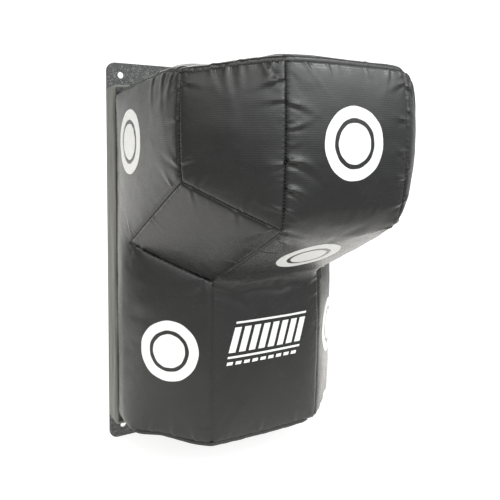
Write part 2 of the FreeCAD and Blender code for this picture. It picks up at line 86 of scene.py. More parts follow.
class G:
    """Short node-building helpers for one material."""

    def __init__(self, name):
        self.m, self.nt, self.b = new_mat(name)

    def node(self, kind, **props):
        n = self.nt.nodes.new(kind)
        for k, v in props.items():
            setattr(n, k, v)
        return n

    def link(self, a, b):
        self.nt.links.new(a, b)

    def put(self, socket, value):
        if isinstance(value, bpy.types.NodeSocket):
            self.link(value, socket)
        else:
            socket.default_value = value

    def coords(self):
        return self.node("ShaderNodeTexCoord").outputs["Object"]

    def attr(self, name, what="Vector"):
        n = self.node("ShaderNodeAttribute", attribute_name=name)
        return n.outputs[what]

    def math(self, op, a, b=0.0, c=0.0, clamp=False):
        n = self.node("ShaderNodeMath", operation=op, use_clamp=clamp)
        self.put(n.inputs[0], a)
        self.put(n.inputs[1], b)
        if len(n.inputs) > 2:
            self.put(n.inputs[2], c)
        return n.outputs[0]

    def sep(self, v):
        n = self.node("ShaderNodeSeparateXYZ")
        self.link(v, n.inputs[0])
        return n.outputs

    def noise(self, v, scale, detail=3.0, rough=0.55, distortion=0.0):
        n = self.node("ShaderNodeTexNoise")
        self.put(n.inputs["Vector"], v)
        n.inputs["Scale"].default_value = scale
        n.inputs["Detail"].default_value = detail
        n.inputs["Roughness"].default_value = rough
        n.inputs["Distortion"].default_value = distortion
        return n.outputs["Fac"]

    def voronoi(self, v, scale, feature="F1"):
        n = self.node("ShaderNodeTexVoronoi", feature=feature)
        self.put(n.inputs["Vector"], v)
        n.inputs["Scale"].default_value = scale
        return n.outputs["Distance"]

    def stretch(self, v, sx, sy, sz):
        n = self.node("ShaderNodeMapping")
        self.link(v, n.inputs["Vector"])
        n.inputs["Scale"].default_value = (sx, sy, sz)
        return n.outputs[0]

    def ramp(self, f, *stops):
        n = self.node("ShaderNodeValToRGB")
        self.link(f, n.inputs[0])
        e = n.color_ramp.elements
        while len(e) < len(stops):
            e.new(0.5)
        for i, (p, c) in enumerate(stops):
            e[i].position = p
            e[i].color = (*c, 1) if len(c) == 3 else c
        return n.outputs[0]

    def remap(self, f, a, b, c, d):
        n = self.node("ShaderNodeMapRange")
        self.link(f, n.inputs[0])
        for i, x in enumerate((a, b, c, d)):
            n.inputs[i + 1].default_value = x
        return n.outputs[0]

    def mix(self, f, a, b, blend="MIX"):
        n = self.node("ShaderNodeMix", data_type="RGBA", blend_type=blend)
        self.put(n.inputs[0], f)
        self.put(n.inputs[6], (*a, 1) if isinstance(a, tuple) and len(a) == 3 else a)
        self.put(n.inputs[7], (*b, 1) if isinstance(b, tuple) and len(b) == 3 else b)
        return n.outputs[2]

    def bump(self, height, strength, distance, normal=None):
        n = self.node("ShaderNodeBump")
        n.inputs["Strength"].default_value = strength
        n.inputs["Distance"].default_value = distance
        self.link(height, n.inputs["Height"])
        if normal is not None:
            self.link(normal, n.inputs["Normal"])
        return n.outputs[0]

    def grid(self, w, pitch, width):
        """Raised thread lines at a pitch, 0 to 1, on the first two axes of w (metres)."""
        x, y, _ = self.sep(w)
        out = []
        for c in (x, y):
            f = self.math("FRACT", self.math("MULTIPLY", c, 1.0 / pitch))
            d = self.math("ABSOLUTE", self.math("SUBTRACT", f, 0.5))
            out.append(self.math("SUBTRACT", 1.0, self.math("DIVIDE", d, width / pitch, clamp=True), clamp=True))
        return out

    def base(self, **kw):
        for k, v in kw.items():
            s = self.b.inputs[k.replace("_", " ")]
            if isinstance(v, tuple) and len(v) == 3 and s.type == "RGBA":
                v = (*v, 1)
            self.put(s, v)


def mat_cover():
    g = G("cover_vinyl")
    w = g.attr("weave")
    edge = g.attr("edge_mm", "Fac")
    gx, gy = g.grid(w, 0.0034, 0.0007)
    rib = g.math("MAXIMUM", g.math("MULTIPLY", gx, 0.55), gy)
    fine = g.voronoi(g.stretch(w, 1.0, 1.0, 1.0), 900.0)
    big = g.noise(w, 9.0, 4.0, 0.6)
    mid = g.noise(w, 60.0, 3.0, 0.6)
    col = g.mix(g.remap(big, 0.3, 0.7, 0.0, 1.0), (0.0095, 0.0100, 0.0098), (0.0145, 0.0150, 0.0145))
    col = g.mix(g.math("MULTIPLY", rib, 0.35), col, (0.028, 0.029, 0.028))
    # painted shade: the vinyl is darkened within 7 mm of each seam, where the seam valley falls into shade
    near = g.math("SUBTRACT", 1.0, g.math("DIVIDE", edge, 7.0, clamp=True), clamp=True)
    col = g.mix(g.math("MULTIPLY", near, 0.5), col, (0.007, 0.007, 0.007))
    # painted shade: the last 1.7 mm at each seam is painted near black, the shadow inside the sunk seam groove
    line = g.math("SUBTRACT", 1.0, g.math("DIVIDE", edge, 1.7, clamp=True), clamp=True)
    col = g.mix(g.math("MULTIPLY", line, 0.8), col, (0.002, 0.0015, 0.0015))
    rub = g.math("MULTIPLY", g.remap(g.noise(w, 11.0, 6.0, 0.75), 0.5, 0.8, 0.0, 1.0), 0.2)
    col = g.mix(rub, col, (0.024, 0.0245, 0.023))
    rough = g.math("ADD", g.remap(mid, 0.3, 0.7, 0.215, 0.275), g.math("MULTIPLY", rib, -0.04))
    rough = g.math("ADD", rough, g.remap(big, 0.3, 0.7, -0.03, 0.05))
    n1 = g.bump(g.noise(w, 28.0, 4.0, 0.6), 0.25, 0.0012)
    n2 = g.bump(rib, 0.6, 0.00015, n1)
    n3 = g.bump(fine, 0.25, 0.00012, n2)
    g.base(Base_Color=col, Roughness=rough, Normal=n3)
    # the painted seam shade also takes less reflection: specular falls on the seam line
    g.put(g.b.inputs["Specular IOR Level"], g.math("MULTIPLY_ADD", line, -0.42, 0.5))
    g.b.inputs["Sheen Weight"].default_value = 0.03
    g.b.inputs["Sheen Roughness"].default_value = 0.4
    g.b.inputs["Coat Weight"].default_value = 0.10
    g.b.inputs["Coat Roughness"].default_value = 0.32
    return g.m


def mat_print():
    g = G("white_print")
    w = g.attr("weave")
    gx, gy = g.grid(w, 0.0034, 0.0007)
    rib = g.math("MAXIMUM", g.math("MULTIPLY", gx, 0.55), gy)
    big = g.noise(w, 14.0, 4.0, 0.6)
    col = g.mix(g.remap(big, 0.3, 0.72, 0.0, 1.0), (0.86, 0.86, 0.85), (0.90, 0.90, 0.89))
    worn = g.remap(g.noise(w, 240.0, 4.0, 0.8), 0.68, 0.82, 0.0, 0.4)
    col = g.mix(worn, col, (0.6, 0.6, 0.58))
    col = g.mix(g.math("MULTIPLY", rib, 0.10), col, (0.72, 0.72, 0.70))
    n = g.bump(rib, 0.4, 0.00014)
    n = g.bump(g.noise(w, 700.0, 2.0), 0.2, 0.0001, n)
    g.base(Base_Color=col, Roughness=g.remap(big, 0.3, 0.7, 0.48, 0.6), Normal=n)
    return g.m


def mat_box():
    g = G("box_vinyl")
    w = g.attr("weave")
    gx, gy = g.grid(w, 0.0012, 0.00045)
    weave = g.math("ADD", g.math("MULTIPLY", gx, 0.6), g.math("MULTIPLY", gy, 0.6))
    # painted sheen: the wrap's sides are coloured a streaked light grey, standing in for the soft sheen on the creased
    # vinyl
    big = g.noise(g.stretch(w, 26.0, 1.0, 1.0), 5.0, 5.0, 0.6)
    col = g.mix(g.remap(big, 0.38, 0.62, 0.0, 1.0), (0.052, 0.055, 0.048), (0.185, 0.19, 0.167))
    col = g.mix(g.remap(g.noise(w, 320.0, 3.0, 0.8), 0.5, 0.8, 0.0, 0.4), col, (0.07, 0.075, 0.065))
    # painted shade: the wrap's front face, in the shadow of the pad, is painted near black
    lo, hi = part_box("frame_wrap")
    depth = hi[1] - lo[1]
    face = g.remap(g.sep(w)[0], depth + 0.001, depth + 0.004, 0.0, 1.0)
    col = g.mix(face, col, (0.009, 0.009, 0.0085))
    n = g.bump(g.noise(g.stretch(w, 6.0, 1.0, 1.0), 26.0, 4.0), 0.4, 0.001)
    n = g.bump(weave, 0.35, 0.0001, n)
    g.base(Base_Color=col, Roughness=g.remap(big, 0.3, 0.7, 0.42, 0.58), Normal=n)
    g.b.inputs["Sheen Weight"].default_value = 0.08
    return g.m


def mat_plate():
    g = G("plate_paint")
    c = g.coords()
    ham = g.voronoi(c, 620.0)
    speck = g.noise(c, 1500.0, 2.0, 0.7)
    big = g.noise(c, 12.0, 4.0, 0.6)
    grit = g.noise(c, 330.0, 4.0, 0.75)
    col = g.mix(g.remap(ham, 0.1, 0.6, 0.0, 1.0), (0.15, 0.157, 0.153), (0.045, 0.048, 0.046))
    col = g.mix(g.remap(grit, 0.38, 0.62, 0.0, 1.0), (0.025, 0.026, 0.026), col)
    col = g.mix(g.remap(grit, 0.55, 0.70, 0.0, 0.85), col, (0.36, 0.365, 0.36))
    col = g.mix(g.remap(speck, 0.55, 0.68, 0.0, 0.6), col, (0.34, 0.345, 0.34))
    col = g.mix(g.remap(big, 0.45, 0.75, 0.0, 0.3), col, (0.10, 0.102, 0.098))
    n = g.bump(ham, 0.55, 0.0005)
    n = g.bump(grit, 0.5, 0.0006, n)
    n = g.bump(speck, 0.25, 0.0002, n)
    g.base(Base_Color=col, Roughness=g.remap(speck, 0.3, 0.7, 0.34, 0.55), Normal=n)
    g.b.inputs["Metallic"].default_value = 0.15
    return g.m


def mat_metal(name, col, rough, scale=500.0):
    g = G(name)
    c = g.coords()
    brush = g.noise(g.stretch(c, 1.0, 8.0, 1.0), scale, 3.0, 0.6)
    blot = g.noise(c, 60.0, 4.0, 0.6)
    k = g.mix(g.remap(blot, 0.35, 0.7, 0.0, 1.0), col, tuple(x * 0.72 for x in col))
    g.base(Base_Color=k, Roughness=g.remap(brush, 0.3, 0.7, rough - 0.06, rough + 0.08), Normal=g.bump(brush, 0.2, 0.0001))
    g.b.inputs["Metallic"].default_value = 1.0
    return g.m


def mat_wood(name, a, b, ply=False):
    g = G(name)
    c = g.coords()
    ring = g.noise(g.stretch(c, 9.0, 9.0, 0.7), 12.0, 5.0, 0.6, 1.2)
    grain = g.noise(g.stretch(c, 60.0, 60.0, 1.6), 14.0, 3.0, 0.6)
    col = g.mix(g.remap(ring, 0.32, 0.68, 0.0, 1.0), a, b)
    col = g.mix(g.remap(grain, 0.5, 0.75, 0.0, 0.55), col, tuple(x * 0.6 for x in a))
    if ply:
        _, y, _ = g.sep(c)
        f = g.math("FRACT", g.math("MULTIPLY", y, 1.0 / 0.0048))
        col = g.mix(g.math("MULTIPLY", g.math("GREATER_THAN", f, 0.5), 0.25), col, tuple(x * 0.55 for x in b))
    g.base(Base_Color=col, Roughness=g.remap(grain, 0.3, 0.7, 0.55, 0.75), Normal=g.bump(grain, 0.4, 0.0003))
    return g.m


def mat_foam(name, a, b):
    g = G(name)
    c = g.coords()
    cell = g.voronoi(c, 420.0)
    big = g.noise(c, 8.0, 4.0)
    col = g.mix(g.remap(big, 0.3, 0.7, 0.0, 1.0), a, b)
    col = g.mix(g.remap(cell, 0.3, 0.8, 0.0, 0.5), col, tuple(x * 0.5 for x in a))
    g.base(Base_Color=col, Roughness=g.remap(cell, 0.2, 0.8, 0.8, 0.95), Normal=g.bump(cell, 0.6, 0.0008))
    return g.m


def mat_tape(name, col, pitch=0.0011):
    g = G(name)
    w = g.attr("weave")
    x, y, _ = g.sep(w)
    twill = g.math("FRACT", g.math("MULTIPLY", g.math("ADD", x, y), 1.0 / pitch))
    d = g.math("ABSOLUTE", g.math("SUBTRACT", twill, 0.5))
    big = g.noise(w, 40.0, 4.0)
    c = g.mix(g.math("MULTIPLY", d, 1.2), col, tuple(min(1.0, v * 2.2 + 0.01) for v in col))
    c = g.mix(g.remap(big, 0.45, 0.75, 0.0, 0.4), c, tuple(min(1.0, v * 3 + 0.01) for v in col))
    g.base(Base_Color=c, Roughness=g.remap(big, 0.3, 0.7, 0.7, 0.88), Normal=g.bump(d, 0.6, 0.0002))
    g.b.inputs["Sheen Weight"].default_value = 0.25
    return g.m


def mat_moulded(name, col):
    g = G(name)
    c = g.coords()
    n1 = g.noise(c, 900.0, 3.0)
    big = g.noise(c, 30.0, 4.0)
    k = g.mix(g.remap(big, 0.35, 0.7, 0.0, 1.0), col, tuple(v * 1.6 + 0.004 for v in col))
    g.base(Base_Color=k, Roughness=g.remap(n1, 0.3, 0.7, 0.38, 0.52), Normal=g.bump(n1, 0.3, 0.0001))
    return g.m


M = {
    "cover_vinyl": mat_cover(),
    "white_print": mat_print(),
    "box_vinyl": mat_box(),
    "plate_paint": mat_plate(),
    "zinc_steel": mat_metal("zinc_steel", (0.58, 0.59, 0.6), 0.36),
    "zip_metal": mat_metal("zip_metal", (0.42, 0.42, 0.43), 0.3, 900.0),
    "timber": mat_wood("timber", (0.62, 0.46, 0.28), (0.5, 0.34, 0.19)),
    "plywood": mat_wood("plywood", (0.56, 0.42, 0.27), (0.46, 0.33, 0.2), True),
    "foam": mat_foam("foam", (0.72, 0.68, 0.52), (0.66, 0.6, 0.44)),
    "dense_foam": mat_foam("dense_foam", (0.12, 0.12, 0.125), (0.16, 0.16, 0.165)),
    "binding_tape": mat_tape("binding_tape", (0.012, 0.012, 0.012)),
    "zip_tape": mat_tape("zip_tape", (0.012, 0.012, 0.012)),
    "zip_plastic": mat_moulded("zip_plastic", (0.02, 0.02, 0.02)),
    "thread": mat_tape("thread", (0.03, 0.03, 0.03), 0.0006),
}
SLOT = {s["node"]: s["material_slot"] for s in frame["record"]["subparts"]}
for node, ob in frame["nodes"].items():
    ob.data.materials.clear()
    ob.data.materials.append(M[SLOT[node]])

BAG = [b for b, ns in frame["record"]["behaviour"]["bodies"].items() if "mounting_plate" in ns][0]


def bevel(node, width, segments=2):
    m = frame["nodes"][node].modifiers.new("edge", "BEVEL")
    m.width = width
    m.segments = segments
    m.limit_method = "ANGLE"
    m.angle_limit = math.radians(40)
    m.harden_normals = False


# ------------------------------------------------------------------ pad corners from the CAD frame
def lohi(n):
    lo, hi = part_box(n)
    return np.array(lo), np.array(hi)


s_lo, s_hi = lohi("cover_side_left")
c_lo, c_hi = lohi("cover_upper_chamfer_left")
h_lo, h_hi = lohi("cover_shelf_left")
b_lo, b_hi = lohi("cover_center_band")
o_lo, o_hi = lohi("cover_bottom")
t_lo, t_hi = lohi("cover_top")
SIDE_X = -s_lo[0] - 0.003
UP_SIDE_Y = -s_lo[1] - 0.003
UP_FRONT_Y = -b_lo[1] - 0.006
UP_FRONT_X = 0.118
UP_SIDE_Z = h_hi[2]
UP_FRONT_Z = c_lo[2] + 0.002
LOW_SIDE_Y = -h_hi[1] - 0.003
LOW_FRONT_Y = -o_lo[1] - 0.005
LOW_FRONT_X = b_hi[0] - 0.001
LOW_SIDE_Z = 0.045
REAR_Y = -s_hi[1]
TOP_F = t_hi[2] - 0.004
TOP_R = 0.332
BOT_F = o_lo[2] + 0.003
BOT_R = -0.324


def lerp(a, b, t):
    return a + (b - a) * t


def top_z(y):
    return lerp(TOP_R, TOP_F, (y - REAR_Y) / (UP_FRONT_Y - REAR_Y))


def bot_z(y):
    return lerp(BOT_R, BOT_F, (y - REAR_Y) / (LOW_FRONT_Y - REAR_Y))


C = {}
C["tr"] = (-SIDE_X, -REAR_Y, TOP_R)
C["ts"] = (-SIDE_X, -UP_SIDE_Y, top_z(UP_SIDE_Y))
C["tf"] = (-UP_FRONT_X, -UP_FRONT_Y, TOP_F)
C["us"] = (-SIDE_X, -UP_SIDE_Y, UP_SIDE_Z)
C["uf"] = (-UP_FRONT_X, -UP_FRONT_Y, UP_FRONT_Z)
C["ls"] = (-SIDE_X, -LOW_SIDE_Y, LOW_SIDE_Z)
C["bs"] = (-SIDE_X, -LOW_SIDE_Y, bot_z(LOW_SIDE_Y))
C["bf"] = (-LOW_FRONT_X, -LOW_FRONT_Y, BOT_F)
C["br"] = (-SIDE_X, -REAR_Y, BOT_R)
_us, _uf, _ls = (np.array(C[k]) for k in ("us", "uf", "ls"))
_n = np.cross(_uf - _us, _ls - _us)
C["lf"] = (-LOW_FRONT_X, -LOW_FRONT_Y, UP_SIDE_Z - (_n[0] * (SIDE_X - LOW_FRONT_X) + _n[1] * (UP_SIDE_Y - LOW_FRONT_Y)) / _n[2])
for k in list(C):
    C[k] = np.array(C[k], float)
    C[k.upper()] = C[k] * np.array([-1.0, 1.0, 1.0])

# piece, corners, crown (mm), crown length (mm)
PANELS = [
    ("up_front", "cover_center_band", ["tf", "uf", "UF", "TF"], 6.5, 30.0),
    ("shelf_front", "cover_center_band", ["uf", "lf", "LF", "UF"], 3.0, 24.0),
    ("low_front", "cover_center_band", ["lf", "bf", "BF", "LF"], 4.5, 26.0),
    ("up_chamfer_l", "cover_upper_chamfer_left", ["ts", "us", "uf", "tf"], 4.5, 24.0),
    ("up_chamfer_r", "cover_upper_chamfer_right", ["TF", "UF", "US", "TS"], 4.5, 24.0),
    ("side_l", "cover_side_left", ["tr", "br", "bs", "ls", "us", "ts"], 4.5, 30.0),
    ("side_r", "cover_side_right", ["TS", "US", "LS", "BS", "BR", "TR"], 4.5, 30.0),
    ("low_chamfer_l", "cover_side_left", ["ls", "bs", "bf", "lf"], 3.5, 24.0),
    ("low_chamfer_r", "cover_side_right", ["LF", "BF", "BS", "LS"], 3.5, 24.0),
    ("shelf_l", "cover_shelf_left", ["us", "ls", "lf", "uf"], 3.5, 20.0),
    ("shelf_r", "cover_shelf_right", ["UF", "LF", "LS", "US"], 3.5, 20.0),
    ("top", "cover_top", ["tr", "ts", "tf", "TF", "TS", "TR"], 13.0, 13.0),
    ("bottom", "cover_bottom", ["br", "BR", "BS", "BF", "bf", "bs"], 4.0, 16.0),
    ("rear", "cover_rear", ["tr", "TR", "BR", "br"], 0.0, 20.0),
]
FOLDS = {frozenset(e) for e in (("uf", "UF"), ("lf", "LF"), ("ls", "bs"), ("LS", "BS"))}
# how far a seam bows out between its corners, mm
BOW = {("tf", "uf"): 13.0, ("ts", "us"): 7.0, ("ts", "tf"): 3.0, ("tf", "TF"): 4.0, ("tr", "ts"): 3.0,
       ("us", "uf"): 4.0, ("us", "ls"): 3.0, ("ls", "lf"): 3.0, ("uf", "lf"): 3.0, ("lf", "bf"): 5.0,
       ("bs", "bf"): 2.5, ("bf", "BF"): 3.0, ("br", "bs"): 2.0, ("uf", "UF"): 6.0, ("lf", "LF"): 0.0, ("ls", "bs"): 3.0}
BOW = {frozenset(k): v for k, v in BOW.items()}
BOW.update({frozenset(x.upper() for x in k): v for k, v in list(BOW.items()) if not any(x.isupper() for x in k)})

H_EDGE, H_FINE, H_BIG = 0.0046, 0.0048, 0.0072
CENTRE = np.array([0.0, -0.15, 0.1])


def seg_dist(p, a, b):
    d = b - a
    t = np.clip(((p - a) @ d) / (d @ d), 0, 1)
    q = a + t[:, None] * d
    return np.linalg.norm(p - q, axis=1), t


def inside(poly, p):
    c = np.zeros(len(p), bool)
    n = len(poly)
    for i in range(n):
        a, b = poly[i], poly[(i + 1) % n]
        hit = ((a[1] > p[:, 1]) != (b[1] > p[:, 1]))
        with np.errstate(divide="ignore", invalid="ignore"):
            x = (b[0] - a[0]) * (p[:, 1] - a[1]) / (b[1] - a[1]) + a[0]
        c ^= hit & (p[:, 0] < x)
    return c


def hexgrid(lo, hi, h, seed):
    r = np.random.default_rng(seed)
    ys = np.arange(lo[1], hi[1] + h, h * math.sqrt(3) / 2)
    out = []
    for j, y in enumerate(ys):
        xs = np.arange(lo[0] + (h / 2 if j % 2 else 0.0), hi[0] + h, h)
        out.append(np.stack([xs, np.full_like(xs, y)], 1))
    p = np.concatenate(out)
    return p + r.uniform(-0.12, 0.12, p.shape) * h


# ---- shared vertex pool
V3, VID = [], {}
V_BOW = []          # outward bow in metres, as vectors
V_SEAM = []         # 1 on a seam
EDGE_PTS = {}
NORMAL = {}
for name, piece, cs, crown, lam in PANELS:
    a, b, c = C[cs[0]], C[cs[1]], C[cs[2]]
    n = np.cross(b - a, c - b)
    n /= np.linalg.norm(n)
    if n @ (a - CENTRE) < 0:
        n = -n
    NORMAL[name] = n


def vertex(p, seam, bow=(0, 0, 0)):
    V3.append(np.array(p, float))
    V_SEAM.append(seam)
    V_BOW.append(np.array(bow, float))
    return len(V3) - 1


CORNER_ID = {}
EDGE_OF = {}
for name, piece, cs, crown, lam in PANELS:
    for i in range(len(cs)):
        EDGE_OF.setdefault(frozenset((cs[i], cs[(i + 1) % len(cs)])), []).append(name)
for key in sorted(EDGE_OF, key=lambda k: sorted(k)):
    a, b = sorted(key)
    fold = key in FOLDS
    for k in (a, b):
        if k not in CORNER_ID:
            CORNER_ID[k] = vertex(C[k], 1.0)
    L = np.linalg.norm(C[b] - C[a])
    n = max(2, int(round(L / H_EDGE)))
    out = sum(NORMAL[p] for p in EDGE_OF[key])
    out = out / np.linalg.norm(out)
    amount = BOW.get(key, 0.0) * MM
    ids = [CORNER_ID[a]]
    for i in range(1, n):
        t = i / n
        bow = out * amount * (4 * t * (1 - t)) ** 0.8
        if {a.lower(), b.lower()} == {"bf", "bs"}:
            lift = 0.0060 if a == "bf" or a == "bs" else 0.0030
            bow = bow + np.array([0, 0, lift * math.exp(-((t - 0.56) / 0.21) ** 2) - 0.0012 * math.exp(-((t - 0.14) / 0.1) ** 2)])
        if not fold:
            wob = mnoise.noise(Vector(C[a] * 31.0 + (C[b] - C[a]) * t * 24.0)) * 0.0011
            bow = bow + out * wob
        ids.append(vertex(lerp(C[a], C[b], t), 0.0 if fold else 1.0, bow))
    ids.append(CORNER_ID[b])
    EDGE_PTS[key] = (a, b, ids)

TRIS, TRI_PANEL = [], []
N_PANEL = {}        # vertex -> panel values gathered below
DIST, CROWN, LAM, W2 = {}, {}, {}, {}
CORNER_UV = {}      # (panel, vertex) -> weave coordinate
SEAM_T = {}         # (panel, vertex) -> nearest seam: (edge key index, t in metres, s in metres)
SEAM_KEYS = [k for k in sorted(EDGE_OF, key=lambda k: sorted(k)) if k not in FOLDS]
U_START = {"low_chamfer_l": LOW_SIDE_Y, "low_chamfer_r": LOW_SIDE_Y}
zip_lo, zip_hi = lohi("zip_tape_front")
ZIP_X = zip_hi[0]
ZIP_V = 0.0062
zr_lo, zr_hi = lohi("zip_tape_rear")
ZIP_Y = -(zip_hi[1] + zr_lo[1]) / 2


def panel_frame(name, cs):
    """Origin, U and V of a panel's own plane; weave coordinates run on across soft folds."""
    n = NORMAL[name]
    if name.startswith("side"):
        return np.array([C[cs[0]][0], 0, 0]), np.array([0, -1.0, 0]), np.array([0, 0, 1.0]), np.zeros(2)
    if name.startswith("low_chamfer"):
        a = C["ls"] if name.endswith("_l") else C["LS"]
        f = C["lf"] if name.endswith("_l") else C["LF"]
        u = np.array([f[0] - a[0], f[1] - a[1], 0])
        u /= np.linalg.norm(u)
        return np.array([a[0], a[1], 0]), u, np.array([0, 0, 1.0]), np.array([LOW_SIDE_Y, 0.0])
    if name in ("up_front", "shelf_front", "low_front"):
        top = {"up_front": "uf", "shelf_front": "lf", "low_front": "lf"}[name]
        o = C[top].copy()
        o[0] = 0
        if name == "up_front":
            d = np.linalg.norm((C["uf"] - C["lf"])[1:])
            return o, np.array([1.0, 0, 0]), np.array([0, 0, 1.0]), np.array([0, d])
        if name == "shelf_front":
            v = C["uf"] - C["lf"]
            v[0] = 0
            v /= np.linalg.norm(v)
            return o, np.array([1.0, 0, 0]), v, np.zeros(2)
        return o, np.array([1.0, 0, 0]), np.array([0, 0, 1.0]), np.zeros(2)
    if abs(n[2]) > 0.9:
        v = np.cross(n, np.array([1.0, 0, 0]))
        v /= np.linalg.norm(v)
        o = np.array([0, -ZIP_Y, bot_z(ZIP_Y)]) if name == "bottom" else C[cs[0]] * np.array([0, 1, 1])
        return o, np.array([1.0, 0, 0]), v, np.zeros(2)
    u = C[cs[1]] - C[cs[2]] if name.startswith("up_chamfer") else C[cs[0]] - C[cs[3]]
    if name == "rear":
        return C["tr"], np.array([1.0, 0, 0]), np.array([0, 0, 1.0]), np.zeros(2)
    if name.startswith("up_chamfer"):
        u = u * np.array([1, 1, 0])
    u = u / np.linalg.norm(u)
    if u[0] < 0:
        u = -u
    v = np.cross(n, u)
    v /= np.linalg.norm(v)
    if v[2] < 0:
        v = -v
    return C[cs[0]], u, v, np.zeros(2)


for pi, (name, piece, cs, crown, lam) in enumerate(PANELS):
    O, U, Vv, off = panel_frame(name, cs)
    flat = lambda P: np.stack([(P - O) @ U, (P - O) @ Vv], 1)
    loop = []
    for i in range(len(cs)):
        a, b = cs[i], cs[(i + 1) % len(cs)]
        ka, kb, ids = EDGE_PTS[frozenset((a, b))]
        ids = ids if ka == a else ids[::-1]
        loop += ids[:-1]
    P = np.array([V3[i] for i in loop])
    L2 = flat(P)
    poly = flat(np.array([C[k] for k in cs]))
    seams, keys = [], []
    for i in range(len(cs)):
        a, b = cs[i], cs[(i + 1) % len(cs)]
        key = frozenset((a, b))
        if key not in FOLDS:
            ka, kb = sorted(key)
            seams.append((flat(C[ka][None])[0], flat(C[kb][None])[0]))
            keys.append(SEAM_KEYS.index(key))
    big = 0.02 if name == "rear" else H_BIG
    fine_lim = 0.0 if name == "rear" else 0.020
    lo, hi = poly.min(0), poly.max(0)
    pts = []
    for h, smin, smax in ((H_FINE, 0.0036, fine_lim), (big, fine_lim + 0.003 if fine_lim else 0.012, 9.0)):
        if smax <= smin:
            continue
        g = hexgrid(lo, hi, h, pi * 10 + int(h * 1e5))
        g = g[inside(poly, g)]
        d = np.full(len(g), 9.0)
        for i in range(len(poly)):
            dd, _ = seg_dist(g, poly[i], poly[(i + 1) % len(poly)])
            e = frozenset((cs[i], cs[(i + 1) % len(cs)]))
            if e in FOLDS:
                # along a fold the mesh stays even: only keep clear of the edge itself
                g_ok = dd > h * 0.55
                d = np.where(g_ok, d, -1.0)
            else:
                d = np.minimum(d, dd)
        g = g[(d >= smin) & (d < smax)]
        pts.append(g)
    hole = None
    if name == "bottom":
        hole = np.array([[-ZIP_X, -ZIP_V], [ZIP_X, -ZIP_V], [ZIP_X, ZIP_V], [-ZIP_X, ZIP_V]])
        pts = [g[~((np.abs(g[:, 0]) < ZIP_X + 0.003) & (np.abs(g[:, 1]) < ZIP_V + 0.003))] for g in pts]
    G2 = np.concatenate(pts)
    hole_ids = []
    if hole is not None:
        hp = []
        for i in range(4):
            a, b = hole[i], hole[(i + 1) % 4]
            n = max(2, int(round(np.linalg.norm(b - a) / 0.005)))
            hp += [lerp(a, b, j / n) for j in range(n)]
        hp = np.array(hp)
    ids = list(loop)
    allp = [L2]
    edges = [(i, (i + 1) % len(loop)) for i in range(len(loop))]
    if hole is not None:
        k0 = len(ids)
        for q in hp:
            ids.append(vertex(O + U * q[0] + Vv * q[1], 1.0, NORMAL["bottom"] * 0.0018))
        edges += [(k0 + i, k0 + (i + 1) % len(hp)) for i in range(len(hp))]
        allp.append(hp)
        for i in range(4):
            seams.append((hole[i], hole[(i + 1) % 4]))
            keys.append(-1)
    for q in G2:
        ids.append(vertex(O + U * q[0] + Vv * q[1], 0.0))
    allp.append(G2)
    A = np.concatenate(allp)
    r = delaunay_2d_cdt([Vector(q * 1000) for q in A], edges, [], 0, 1e-5)
    back = [ov[0] if ov else -1 for ov in r[3]]
    faces = np.array([[back[i] for i in f] for f in r[2] if len(f) == 3])
    cen = A[faces].mean(1)
    ok = inside(poly, cen)
    if hole is not None:
        ok &= ~inside(hole, cen)
    faces = faces[ok]
    # outward winding
    q = A[faces]
    area = np.cross(q[:, 1] - q[:, 0], q[:, 2] - q[:, 0])
    faces = faces[np.abs(area) > 1e-10]
    area = area[np.abs(area) > 1e-10]
    sign = 1.0 if np.cross(U, Vv) @ NORMAL[name] > 0 else -1.0
    bad = area * sign < 0
    faces[bad] = faces[bad][:, ::-1]
    gid = np.array(ids)
    for f in gid[faces]:
        TRIS.append(f)
        TRI_PANEL.append(pi)
    # distance to the nearest seam, and where along it
    best = np.full(len(A), 9.0)
    bk = np.full(len(A), -1)
    bt = np.zeros(len(A))
    for (a, b), key in zip(seams, keys):
        dd, t = seg_dist(A, a, b)
        m = dd < best
        best[m] = dd[m]
        bk[m] = key
        bt[m] = t[m] * np.linalg.norm(b - a)
    for k, i in enumerate(ids):
        CORNER_UV[(pi, i)] = A[k] + off
        SEAM_T[(pi, i)] = (bk[k], bt[k], best[k])
        if i not in DIST or best[k] < DIST[i]:
            DIST[i] = best[k]
        CROWN.setdefault(i, []).append(crown)
        LAM.setdefault(i, []).append(lam)
        N_PANEL.setdefault(i, []).append(NORMAL[name])

NV = len(V3)
X0 = np.array(V3)
SEAM = np.array(V_SEAM)
BOWV = np.array(V_BOW)
TRI = np.array(TRIS)
TP = np.array(TRI_PANEL)
D0 = np.array([DIST[i] for i in range(NV)])
CR = np.array([np.mean(CROWN[i]) for i in range(NV)]) * MM
LA = np.array([np.mean(LAM[i]) for i in range(NV)]) * MM
E = np.unique(np.sort(np.concatenate([TRI[:, [0, 1]], TRI[:, [1, 2]], TRI[:, [2, 0]]]), 1), axis=0)
EI, EJ = np.concatenate([E[:, 0], E[:, 1]]), np.concatenate([E[:, 1], E[:, 0]])
DEG = np.bincount(EI, minlength=NV).astype(float)
print("cover mesh:", NV, "points", len(TRI), "triangles")


def smooth(F, free, n, rate=1.0):
    F = F.copy()
    two = F.ndim == 2
    for _ in range(n):
        if two:
            S = np.stack([np.bincount(EI, F[EJ, k], minlength=NV) for k in range(F.shape[1])], 1) / DEG[:, None]
            F = F + (S - F) * (free[:, None] * rate)
        else:
            S = np.bincount(EI, F[EJ], minlength=NV) / DEG
            F = F + (S - F) * (free * rate)
    return F


def vnormals(X):
    a, b, c = X[TRI[:, 0]], X[TRI[:, 1]], X[TRI[:, 2]]
    n = np.cross(b - a, c - a)
    out = np.zeros_like(X)
    for k in range(3):
        for j in range(3):
            out[:, j] += np.bincount(TRI[:, k], n[:, j], minlength=NV)
    return out / np.maximum(np.linalg.norm(out, axis=1), 1e-12)[:, None]


